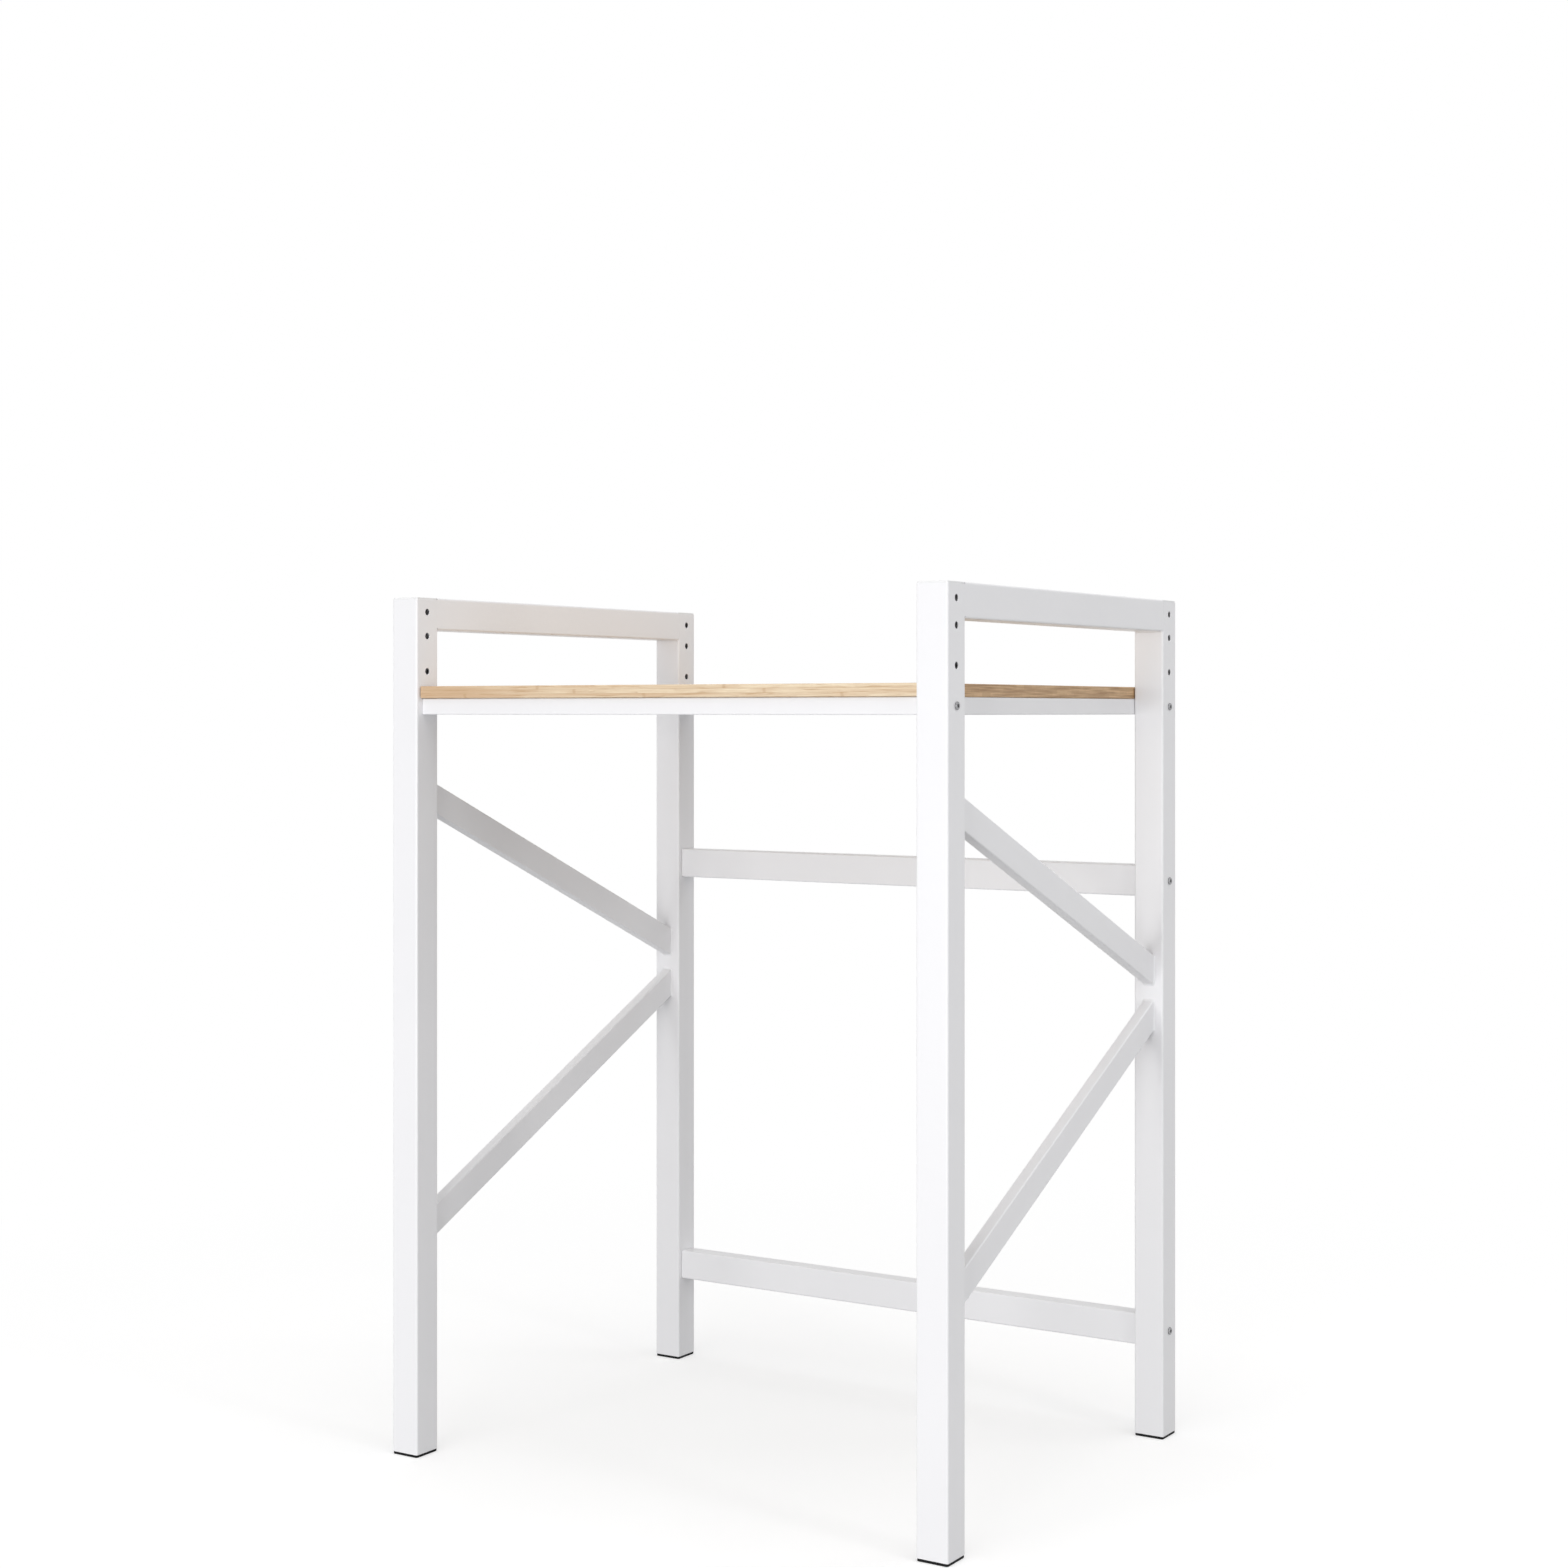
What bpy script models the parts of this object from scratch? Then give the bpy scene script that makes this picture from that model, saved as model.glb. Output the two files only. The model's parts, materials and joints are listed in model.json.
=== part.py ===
"""Washer dryer stacking stand: two welded side frames of square steel tube, joined by
a bolted shelf with a bamboo board and by two bolted back rails. The bay under the
shelf is open at the front, and the side frames rise above the board at its two ends.

Metres, +Z up, the front of the stand faces -Y. The origin is on the floor, in the
middle of the stand.
"""

import math

import bmesh
import bpy
from mathutils import Vector

# Overall size, over the faces of the posts
STAND_WIDTH = 0.790
STAND_DEPTH = 0.610
STAND_HEIGHT = 1.070

# Square tube of the posts and the top rails
POST_SIZE = 0.040
POST_WALL = 0.0015
POST_CORNER = 0.0025

# Flat tube of the braces, which form a K in each side frame
BRACE_DEPTH = 0.035
BRACE_THICKNESS = 0.015
BRACE_WALL = 0.0015
BRACE_CORNER = 0.0020
UPPER_BRACE_DROP = 0.101  # middle of its front end, below the underside of the shelf frame
LOWER_BRACE_Z = 0.281  # middle of its front end, above the floor
BRACE_NODE_RISE = 0.017  # middle of their rear ends, above the middle of their front ends
BRACE_SPACING = 0.020  # bare post between their rear ends

# Flat tube of the back rails
BACK_RAIL_HEIGHT = 0.040
BACK_RAIL_DEPTH = 0.025
BACK_RAIL_WALL = 0.0015
BACK_RAIL_CORNER = 0.0020
UPPER_RAIL_DROP = 0.223  # its bolts, below the shelf's bolts
LOWER_RAIL_Z = 0.135  # its bolts, above the floor

# Holes for the shelf's bolts, at several heights down each post
HOLE_TOP_DEPTH = 0.018
HOLE_FIRST_STEP = 0.030
HOLE_STEP = 0.044
HOLE_ROWS = 4
SHELF_ROW = 3  # the row in use, counted from 0 at the top

# Square tube of the shelf frame
SHELF_TUBE = 0.020
SHELF_WALL = 0.0015
SHELF_CORNER = 0.0015
CROSS_BAR_SPACING = 0.240

# Bamboo board
BOARD_THICKNESS = 0.015
BOARD_SIDE_CLEARANCE = 0.001
BOARD_SETBACK = 0.005  # from the posts' front and rear faces
BOARD_EDGE = 0.001

# Low button head bolts of the shelf and the back rails, and the blocks they screw into
BOLT_DIAMETER = 0.006
BOLT_HEAD_DIAMETER = 0.0095
BOLT_HEAD_HEIGHT = 0.0018
BOLT_HEAD_RIM = 0.0006
BOLT_SOCKET = 0.004  # across the flats
BOLT_SOCKET_DEPTH = 0.0018
BOLT_PLAY = 0.0010  # round the bolt in the posts' holes
BOLT_CHAMFER = 0.0007
BOLT_TIP = 0.003  # past the block
BLOCK_LENGTH = 0.012

# Screws that hold the board down from below
SCREW_DIAMETER = 0.004
SCREW_POINT = 0.004
SCREW_HEAD_DIAMETER = 0.008
SCREW_HEAD_HEIGHT = 0.0026
SCREW_HEAD_RIM = 0.0008
SCREW_SLOT_LENGTH = 0.0045
SCREW_SLOT_WIDTH = 0.0010
SCREW_SLOT_DEPTH = 0.0013
SCREW_PLAY = 0.0005  # round the screw in the bar's upper wall
SCREW_ACCESS_PLAY = 0.0015  # round the head in the bar's lower wall
SCREW_COVER = 0.005  # wood left above the screw's point
SCREW_END_MARGIN = 0.075  # from the bar's end to its first screw
SCREWS_PER_BAR = 3

# Plastic plugs in the posts' ends
FOOT_FLANGE = 0.003
FOOT_STEM = 0.018
CAP_FLANGE = 0.002
CAP_HOLE_CLEARANCE = 0.00125  # from the stem's end to the top hole
PLUG_INSET = 0.0005  # of the flange, inside the posts' faces
PLUG_WALL = 0.002
FIN_THICKNESS = 0.0015
FIN_STANDOUT = 0.003
FIN_CLEARANCE = 0.0005  # to the post's inside
FIN_SHARES = (0.30, 0.75)  # of the stem's length

# Clearance between pieces that touch, or are welded, on the real stand
FIT_GAP = 0.0003
# How far a cutter runs past what it cuts
OVERRUN = 0.005
# How far shapes that a union joins reach into each other
UNION_BITE = 0.0005

CORNER_SEGMENTS = 3
ROUND_PROFILE = 0.5  # a bevel of circular section
HOLE_SIDES = 16
ROUND_STEPS = 16
DOME_STEPS = 3
SMOOTH_ANGLE = math.radians(40)
MERGE_DISTANCE = 0.00001

# Places and lengths that follow from the sizes above
POST_X = (STAND_WIDTH - POST_SIZE) / 2
POST_Y = (STAND_DEPTH - POST_SIZE) / 2
CLEAR_WIDTH = STAND_WIDTH - 2 * POST_SIZE
CLEAR_DEPTH = STAND_DEPTH - 2 * POST_SIZE
POST_BORE = POST_SIZE - 2 * POST_WALL
HOLE_DIAMETER = BOLT_DIAMETER + 2 * BOLT_PLAY
TOP_HOLE_Z = STAND_HEIGHT - HOLE_TOP_DEPTH
HOLE_HEIGHTS = [TOP_HOLE_Z] + [
    TOP_HOLE_Z - HOLE_FIRST_STEP - HOLE_STEP * step for step in range(HOLE_ROWS - 1)
]
SHELF_Z = HOLE_HEIGHTS[SHELF_ROW]
SHELF_TOP = SHELF_Z + SHELF_TUBE / 2
SHELF_BOTTOM = SHELF_Z - SHELF_TUBE / 2
BOARD_BOTTOM = SHELF_TOP + FIT_GAP
UPPER_RAIL_Z = SHELF_Z - UPPER_RAIL_DROP
UPPER_BRACE_Z = SHELF_BOTTOM - UPPER_BRACE_DROP
BRACE_NODE_Z = (UPPER_BRACE_Z + LOWER_BRACE_Z) / 2 + BRACE_NODE_RISE
BRACE_RUN = CLEAR_DEPTH - 2 * FIT_GAP
CROSS_RAIL_LENGTH = CLEAR_WIDTH - 2 * FIT_GAP
SIDE_RAIL_LENGTH = 2 * POST_Y - SHELF_TUBE - 2 * FIT_GAP
SIDE_RAIL_X = (CROSS_RAIL_LENGTH - SHELF_TUBE) / 2
BOLT_LENGTH = FIT_GAP + POST_SIZE + FIT_GAP + BLOCK_LENGTH + BOLT_TIP
SCREW_BITE = BOARD_THICKNESS - SCREW_COVER
SCREW_SEAT_Z = SHELF_TOP - SHELF_WALL - FIT_GAP
SCREW_LENGTH = BOARD_BOTTOM + SCREW_BITE - SCREW_SEAT_Z
SCREW_REACH = SIDE_RAIL_LENGTH / 2 - SCREW_END_MARGIN
CAP_STEM = HOLE_TOP_DEPTH - CAP_FLANGE - HOLE_DIAMETER / 2 - CAP_HOLE_CLEARANCE

# Which way each side and each end lies from the middle of the stand
SIDES = {"left": -1, "right": 1}
ENDS = {"front": -1, "rear": 1}

# A tube along +Z turned to lie along X or along Y
ALONG_X = (0, math.pi / 2, 0)
ALONG_Y = (-math.pi / 2, 0, 0)
UPSIDE_DOWN = (math.pi, 0, 0)


def clear_scene():
    for old in list(bpy.data.objects):
        bpy.data.objects.remove(old, do_unlink=True)


def new_collection(name):
    collection = bpy.data.collections.new(name)
    bpy.context.scene.collection.children.link(collection)
    return collection


def finish(name, color, roughness, metallic=0.0):
    """A plain material with one colour, roughness and metallic value."""
    material = bpy.data.materials.new(name)
    material.use_nodes = True
    shader = material.node_tree.nodes["Principled BSDF"]
    shader.inputs["Base Color"].default_value = (*color, 1)
    shader.inputs["Roughness"].default_value = roughness
    shader.inputs["Metallic"].default_value = metallic
    material.diffuse_color = (*color, 1)
    return material


clear_scene()
PARTS = new_collection("washer_dryer_stacking_stand")
CUTTERS = new_collection("cutters")

WHITE_POWDER_COAT = finish("white_powder_coat", (0.90, 0.90, 0.90), 0.45)
WHITE_PLASTIC = finish("white_plastic", (0.88, 0.88, 0.88), 0.50)
BLACK_PLASTIC = finish("black_plastic", (0.02, 0.02, 0.02), 0.60)
BAMBOO = finish("bamboo", (0.78, 0.58, 0.36), 0.50)
DARK_STEEL = finish("dark_steel", (0.30, 0.30, 0.31), 0.45, 1.0)
ZINC_STEEL = finish("zinc_steel", (0.60, 0.60, 0.62), 0.35, 1.0)


def place(name, mesh, parent=None, location=(0, 0, 0), rotation=(0, 0, 0)):
    """A piece of the stand: an object that shows the mesh, at its place under its parent."""
    piece = bpy.data.objects.new(name, mesh)
    PARTS.objects.link(piece)
    piece.parent = parent
    piece.location = location
    piece.rotation_euler = rotation
    return piece


def place_cutter(name, mesh, parent=None, location=(0, 0, 0), rotation=(0, 0, 0)):
    cutter = bpy.data.objects.new(name, mesh)
    CUTTERS.objects.link(cutter)
    cutter.parent = parent
    cutter.location = location
    cutter.rotation_euler = rotation
    cutter.hide_render = True
    cutter.display_type = "WIRE"
    return cutter


def combine(piece, other, operation):
    modifier = piece.modifiers.new(operation.lower(), "BOOLEAN")
    modifier.operation = operation
    modifier.solver = "EXACT"
    modifier.object = other


def mesh_from(shape, name, material=None):
    mesh = bpy.data.meshes.new(name)
    shape.to_mesh(mesh)
    shape.free()
    if material:
        mesh.materials.append(material)
    return mesh


def applied_mesh(piece, name):
    """The mesh that a piece's modifiers make. The piece and its cutters are removed."""
    bpy.context.view_layer.update()
    graph = bpy.context.evaluated_depsgraph_get()
    mesh = bpy.data.meshes.new_from_object(piece.evaluated_get(graph))
    mesh.name = name
    cutters = [item.object for item in piece.modifiers if item.type == "BOOLEAN"]
    for old in [piece, *cutters]:
        bpy.data.objects.remove(old, do_unlink=True)
    mesh.shade_smooth()
    mesh.set_sharp_from_angle(angle=SMOOTH_ANGLE)
    return mesh


def box(size_x, size_y, size_z):
    """A sharp block, centred on its origin."""
    shape = bmesh.new()
    bmesh.ops.create_cube(shape, size=1)
    bmesh.ops.scale(shape, vec=(size_x, size_y, size_z), verts=shape.verts)
    return shape


def rounded_block(size_x, size_y, size_z, corner):
    """A block, centred on its origin, whose four edges along Z are rounded."""
    shape = box(size_x, size_y, size_z)
    upright = [
        edge
        for edge in shape.edges
        if abs(edge.verts[0].co.z - edge.verts[1].co.z) > size_z / 2
    ]
    bmesh.ops.bevel(
        shape,
        geom=upright,
        offset=corner,
        segments=CORNER_SEGMENTS,
        profile=ROUND_PROFILE,
        affect="EDGES",
    )
    return shape


def rod(diameter, length, places=((0, 0, 0),), sides=HOLE_SIDES):
    """Round rods along Z, one centred on each place, which cut all of a piece's holes at once."""
    shape = bmesh.new()
    for spot in places:
        made = bmesh.ops.create_cone(
            shape,
            cap_ends=True,
            segments=sides,
            radius1=diameter / 2,
            radius2=diameter / 2,
            depth=length,
        )
        bmesh.ops.translate(shape, vec=Vector(spot), verts=made["verts"])
    return shape


def tube(name, size_x, size_y, length, wall, corner, parent, location, rotation=(0, 0, 0)):
    """A rectangular tube along its own Z, open at both ends: a skin with its wall inside it."""
    shape = rounded_block(size_x, size_y, length, corner)
    ends = [face for face in shape.faces if abs(face.normal.z) > math.cos(SMOOTH_ANGLE)]
    bmesh.ops.delete(shape, geom=ends, context="FACES_ONLY")
    mesh = mesh_from(shape, name, WHITE_POWDER_COAT)
    mesh.shade_smooth()
    mesh.set_sharp_from_angle(angle=SMOOTH_ANGLE)
    piece = place(name, mesh, parent, location, rotation)
    skin = piece.modifiers.new("wall", "SOLIDIFY")
    skin.thickness = wall
    skin.offset = -1
    skin.use_even_offset = True
    return piece


def post(name, end, parent):
    """An upright, drilled right through from side to side for the bolts."""
    low = FOOT_FLANGE + FIT_GAP
    high = STAND_HEIGHT - CAP_FLANGE - FIT_GAP
    middle = (low + high) / 2
    spot = (0, end * POST_Y, middle)
    piece = tube(name, POST_SIZE, POST_SIZE, high - low, POST_WALL, POST_CORNER, parent, spot)
    heights = list(HOLE_HEIGHTS)
    if end == ENDS["rear"]:
        heights += [UPPER_RAIL_Z, LOWER_RAIL_Z]
    # The drill lies along X, so its own X axis points down the post
    places = [(middle - height, 0, 0) for height in heights]
    drill = mesh_from(rod(HOLE_DIAMETER, POST_SIZE + 2 * OVERRUN, places), name + "_drill")
    combine(piece, place_cutter(name + "_drill", drill, parent, spot, ALONG_X), "DIFFERENCE")
    return piece


def brace_slope(rise):
    """How steeply a brace climbs from its front end, so that its rear end's corner,
    which is half of the brace's upright thickness from its middle, is at the given rise."""
    run = BRACE_RUN
    half = BRACE_DEPTH / 2
    reach = math.sqrt(run**2 + rise**2 - half**2)
    return (rise * run - half * reach) / (run**2 - half**2)


def brace(name, front_z, parent):
    """A flat tube from a front post to the middle of the rear post, its ends cut upright."""
    up = 1 if front_z < BRACE_NODE_Z else -1
    slope = up * brace_slope(abs(BRACE_NODE_Z - front_z) - BRACE_SPACING / 2)
    angle = math.atan(slope)
    long_enough = BRACE_RUN / math.cos(angle) + BRACE_DEPTH
    spot = (0, 0, front_z + slope * BRACE_RUN / 2)
    lie = (angle - math.pi / 2, 0, 0)
    size = (BRACE_THICKNESS, BRACE_DEPTH, long_enough)
    piece = tube(name, *size, BRACE_WALL, BRACE_CORNER, parent, spot, lie)
    # A block at each end trims the tube to the face of its post
    tall = 2 * BRACE_DEPTH
    trim = mesh_from(box(BRACE_THICKNESS + 2 * OVERRUN, tall, tall), name + "_trim")
    for end in ENDS.values():
        height = front_z + slope * BRACE_RUN * (1 + end) / 2
        trim_spot = (0, end * (BRACE_RUN + tall) / 2, height)
        cutter = place_cutter(name + "_trim", trim, parent, trim_spot)
        combine(piece, cutter, "DIFFERENCE")
    return piece


def side_frame(side_name):
    """Two posts, a top rail between their tops and two braces, all welded together."""
    side = SIDES[side_name]
    frame = place("side_frame_" + side_name, None, location=(side * POST_X, 0, 0))
    for end_name, end in ENDS.items():
        post(f"post_{end_name}_{side_name}", end, frame)
    top_z = STAND_HEIGHT - POST_SIZE / 2
    size = (POST_SIZE, POST_SIZE, BRACE_RUN)
    name = "top_rail_" + side_name
    tube(name, *size, POST_WALL, POST_CORNER, frame, (0, 0, top_z), ALONG_Y)
    brace("brace_upper_" + side_name, UPPER_BRACE_Z, frame)
    brace("brace_lower_" + side_name, LOWER_BRACE_Z, frame)
    return frame


def plug_mesh(name, flange, stem, material):
    """A tube plug: its flange's outer face is at zero, and its hollow, finned stem points up."""
    side = POST_SIZE - 2 * PLUG_INSET
    fin_side = POST_BORE - 2 * FIN_CLEARANCE
    stem_side = fin_side - 2 * FIN_STANDOUT
    core_side = stem_side - 2 * PLUG_WALL
    plate = rounded_block(side, side, flange, POST_CORNER)
    bmesh.ops.translate(plate, vec=(0, 0, flange / 2), verts=plate.verts)
    piece = place(name, mesh_from(plate, name, material))
    tall = stem + UNION_BITE
    joined = [("stem", stem_side, tall, flange - UNION_BITE + tall / 2)]
    joined += [("fin", fin_side, FIN_THICKNESS, flange + stem * share) for share in FIN_SHARES]
    for label, wide, thick, height in joined:
        shape = rounded_block(wide, wide, thick, POST_CORNER)
        other = place_cutter(label, mesh_from(shape, label), location=(0, 0, height))
        combine(piece, other, "UNION")
    deep = stem + OVERRUN
    core = mesh_from(box(core_side, core_side, deep), "core")
    cutter = place_cutter("core", core, location=(0, 0, flange + deep / 2))
    combine(piece, cutter, "DIFFERENCE")
    return applied_mesh(piece, name)


def tube_plugs(side_name, frame):
    """A foot under each post of a side frame, and a cap on top of it."""
    for end_name, end in ENDS.items():
        where = f"{end_name}_{side_name}"
        place("foot_" + where, FOOT_MESH, frame, (0, end * POST_Y, 0))
        cap_spot = (0, end * POST_Y, STAND_HEIGHT)
        place("cap_" + where, CAP_MESH, frame, cap_spot, UPSIDE_DOWN)


def turned(name, profile, material):
    """Points of radius and height, turned round Z. They run from the top down the outer side."""
    mesh = bpy.data.meshes.new(name)
    points = [(radius, 0, height) for radius, height in profile]
    edges = [(index, index + 1) for index in range(len(points) - 1)]
    mesh.from_pydata(points, edges, [])
    mesh.materials.append(material)
    piece = place(name, mesh)
    turn = piece.modifiers.new("turn", "SCREW")
    turn.axis = "Z"
    turn.steps = ROUND_STEPS
    turn.render_steps = ROUND_STEPS
    turn.use_merge_vertices = True
    turn.merge_threshold = MERGE_DISTANCE
    return piece


def dome(head_diameter, rim, height):
    """The outline of a button head, from the middle of its top to the top of its rim."""
    points = [(0, height)]
    for step in range(1, DOME_STEPS + 1):
        turn = math.pi / 2 * step / DOME_STEPS
        out = head_diameter / 2 * math.sin(turn)
        points.append((out, rim + (height - rim) * math.cos(turn)))
    return points


def bolt_mesh():
    """A low button head bolt: its head's underside is at zero, with a hexagon socket on top."""
    head = BOLT_HEAD_DIAMETER / 2
    shank = BOLT_DIAMETER / 2
    profile = dome(BOLT_HEAD_DIAMETER, BOLT_HEAD_RIM, BOLT_HEAD_HEIGHT) + [
        (head, 0),
        (shank, 0),
        (shank, BOLT_CHAMFER - BOLT_LENGTH),
        (shank - BOLT_CHAMFER, -BOLT_LENGTH),
        (0, -BOLT_LENGTH),
    ]
    piece = turned("bolt", profile, DARK_STEEL)
    deep = BOLT_SOCKET_DEPTH + OVERRUN
    across_corners = 2 * BOLT_SOCKET / math.sqrt(3)
    key = mesh_from(rod(across_corners, deep, sides=6), "socket_key")
    middle = BOLT_HEAD_HEIGHT - BOLT_SOCKET_DEPTH + deep / 2
    combine(piece, place_cutter("socket_key", key, location=(0, 0, middle)), "DIFFERENCE")
    return applied_mesh(piece, "bolt")


def screw_mesh():
    """A pan head screw: the head's underside is at zero, and a crossed slot is on top."""
    head = SCREW_HEAD_DIAMETER / 2
    shank = SCREW_DIAMETER / 2
    profile = dome(SCREW_HEAD_DIAMETER, SCREW_HEAD_RIM, SCREW_HEAD_HEIGHT) + [
        (head, 0),
        (shank, 0),
        (shank, SCREW_POINT - SCREW_LENGTH),
        (0, -SCREW_LENGTH),
    ]
    piece = turned("screw", profile, ZINC_STEEL)
    deep = SCREW_SLOT_DEPTH + OVERRUN
    middle = SCREW_HEAD_HEIGHT - SCREW_SLOT_DEPTH + deep / 2
    slot = mesh_from(box(SCREW_SLOT_LENGTH, SCREW_SLOT_WIDTH, deep), "slot")
    for turn in (0, math.pi / 2):
        cutter = place_cutter("slot", slot, location=(0, 0, middle), rotation=(0, 0, turn))
        combine(piece, cutter, "DIFFERENCE")
    return applied_mesh(piece, "screw")


def block_mesh(name, tube_x, tube_y, wall, corner):
    """A threaded block that fills a tube's end, bored right through for its bolt."""
    less = 2 * (wall + FIT_GAP)
    shape = rounded_block(tube_x - less, tube_y - less, BLOCK_LENGTH, corner)
    piece = place(name, mesh_from(shape, name, ZINC_STEEL))
    bore = rod(BOLT_DIAMETER + 2 * FIT_GAP, BLOCK_LENGTH + 2 * OVERRUN)
    cutter = place_cutter(name + "_bore", mesh_from(bore, name + "_bore"))
    combine(piece, cutter, "DIFFERENCE")
    return applied_mesh(piece, name)


def bolted_ends(prefix, level, mesh, y, z, parent):
    """The two bolts of a rail, and the block that each one screws into."""
    for side_name, side in SIDES.items():
        where = f"{level}_{side_name}"
        facing = (0, side * math.pi / 2, 0)
        bolt_spot = (side * (STAND_WIDTH / 2 + FIT_GAP), y, z)
        place(f"{prefix}_bolt_{where}", BOLT_MESH, parent, bolt_spot, facing)
        block_spot = (side * (CROSS_RAIL_LENGTH - BLOCK_LENGTH) / 2, y, z)
        place(f"{prefix}_block_{where}", mesh, parent, block_spot, facing)


def screw_places():
    """Where the board's screws stand, in a row along each cross bar."""
    places = []
    for side in SIDES.values():
        for count in range(SCREWS_PER_BAR):
            share = 2 * count / (SCREWS_PER_BAR - 1) - 1
            places.append((side * CROSS_BAR_SPACING / 2, share * SCREW_REACH))
    return places


def cross_bar(side_name, parent):
    """A bar under the board, with a small hole for each screw and a wide one below it."""
    side = SIDES[side_name]
    name = "shelf_bar_" + side_name
    spot = (side * CROSS_BAR_SPACING / 2, 0, 0)
    size = (SHELF_TUBE, SHELF_TUBE, SIDE_RAIL_LENGTH)
    piece = tube(name, *size, SHELF_WALL, SHELF_CORNER, parent, spot, ALONG_Y)
    rows = [y for x, y in screw_places() if x * side > 0]
    deep = SHELF_TUBE / 2 + OVERRUN
    for label, diameter, up in (
        ("_screw_drill", SCREW_DIAMETER + 2 * SCREW_PLAY, 1),
        ("_access_drill", SCREW_HEAD_DIAMETER + 2 * SCREW_ACCESS_PLAY, -1),
    ):
        drill = mesh_from(rod(diameter, deep, [(0, y, 0) for y in rows]), name + label)
        drill_spot = (spot[0], 0, up * deep / 2)
        combine(piece, place_cutter(name + label, drill, parent, drill_spot), "DIFFERENCE")
    return piece


def shelf_board(parent):
    """The bamboo board, with blind holes from below for its screws."""
    size_x = CLEAR_WIDTH - 2 * BOARD_SIDE_CLEARANCE
    size_y = STAND_DEPTH - 2 * BOARD_SETBACK
    name = "shelf_board"
    mesh = mesh_from(box(size_x, size_y, BOARD_THICKNESS), name, BAMBOO)
    middle = BOARD_BOTTOM - SHELF_Z + BOARD_THICKNESS / 2
    piece = place(name, mesh, parent, (0, 0, middle))
    soften = piece.modifiers.new("soft_edges", "BEVEL")
    soften.width = BOARD_EDGE
    soften.segments = 2
    deep = SCREW_BITE + FIT_GAP + OVERRUN
    spots = [(x, y, 0) for x, y in screw_places()]
    drill = mesh_from(rod(SCREW_DIAMETER + 2 * FIT_GAP, deep, spots), name + "_drill")
    drill_z = BOARD_BOTTOM - SHELF_Z + SCREW_BITE + FIT_GAP - deep / 2
    cutter = place_cutter(name + "_drill", drill, parent, (0, 0, drill_z))
    combine(piece, cutter, "DIFFERENCE")
    return piece


def shelf():
    """The frame of square tube, bolted between the posts, and the board that lies on it."""
    group = place("shelf", None, location=(0, 0, SHELF_Z))
    size = (SHELF_TUBE, SHELF_TUBE)
    kind = (SHELF_WALL, SHELF_CORNER, group)
    for end_name, end in ENDS.items():
        name = "shelf_rail_" + end_name
        tube(name, *size, CROSS_RAIL_LENGTH, *kind, (0, end * POST_Y, 0), ALONG_X)
        bolted_ends("shelf", end_name, SHELF_BLOCK_MESH, end * POST_Y, 0, group)
    for side_name, side in SIDES.items():
        name = "shelf_rail_" + side_name
        tube(name, *size, SIDE_RAIL_LENGTH, *kind, (side * SIDE_RAIL_X, 0, 0), ALONG_Y)
        cross_bar(side_name, group)
    shelf_board(group)
    for number, (x, y) in enumerate(screw_places(), start=1):
        spot = (x, y, SCREW_SEAT_Z - SHELF_Z)
        place(f"board_screw_{number}", SCREW_MESH, group, spot, UPSIDE_DOWN)


def back_rails():
    """Two flat tubes, bolted between the rear posts, that keep the stand square."""
    group = place("back_rails", None, location=(0, POST_Y, 0))
    for level, height in (("upper", UPPER_RAIL_Z), ("lower", LOWER_RAIL_Z)):
        # The tube lies along X, so its own X axis points down and carries its height
        size = (BACK_RAIL_HEIGHT, BACK_RAIL_DEPTH, CROSS_RAIL_LENGTH)
        kind = (BACK_RAIL_WALL, BACK_RAIL_CORNER, group)
        tube("back_rail_" + level, *size, *kind, (0, 0, height), ALONG_X)
        bolted_ends("rail", level, RAIL_BLOCK_MESH, 0, height, group)


FOOT_MESH = plug_mesh("foot", FOOT_FLANGE, FOOT_STEM, BLACK_PLASTIC)
CAP_MESH = plug_mesh("cap", CAP_FLANGE, CAP_STEM, WHITE_PLASTIC)
BOLT_MESH = bolt_mesh()
SCREW_MESH = screw_mesh()
SHELF_BLOCK_MESH = block_mesh("shelf_block", SHELF_TUBE, SHELF_TUBE, SHELF_WALL, SHELF_CORNER)
RAIL_BLOCK_MESH = block_mesh(
    "rail_block", BACK_RAIL_HEIGHT, BACK_RAIL_DEPTH, BACK_RAIL_WALL, BACK_RAIL_CORNER
)

for side_label in SIDES:
    tube_plugs(side_label, side_frame(side_label))
shelf()
back_rails()
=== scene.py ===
# %% [markdown]
# # A washer dryer stacking stand
#
# The stand is a shop welded frame of white powder coated tube. Two side frames, each
# braced with a K, are joined by a bolted shelf with a bamboo board and by two bolted
# rails across the back. This notebook starts from the construction model, in which
# every piece already has its real size and place. The cells below never move or
# resize a piece. They give each one the surface that a buyer would see and feel: the
# rounded corners of drawn tube, weld beads, moulded plugs, screw threads, and the
# finish on top. Sizes are in metres throughout.

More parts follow.
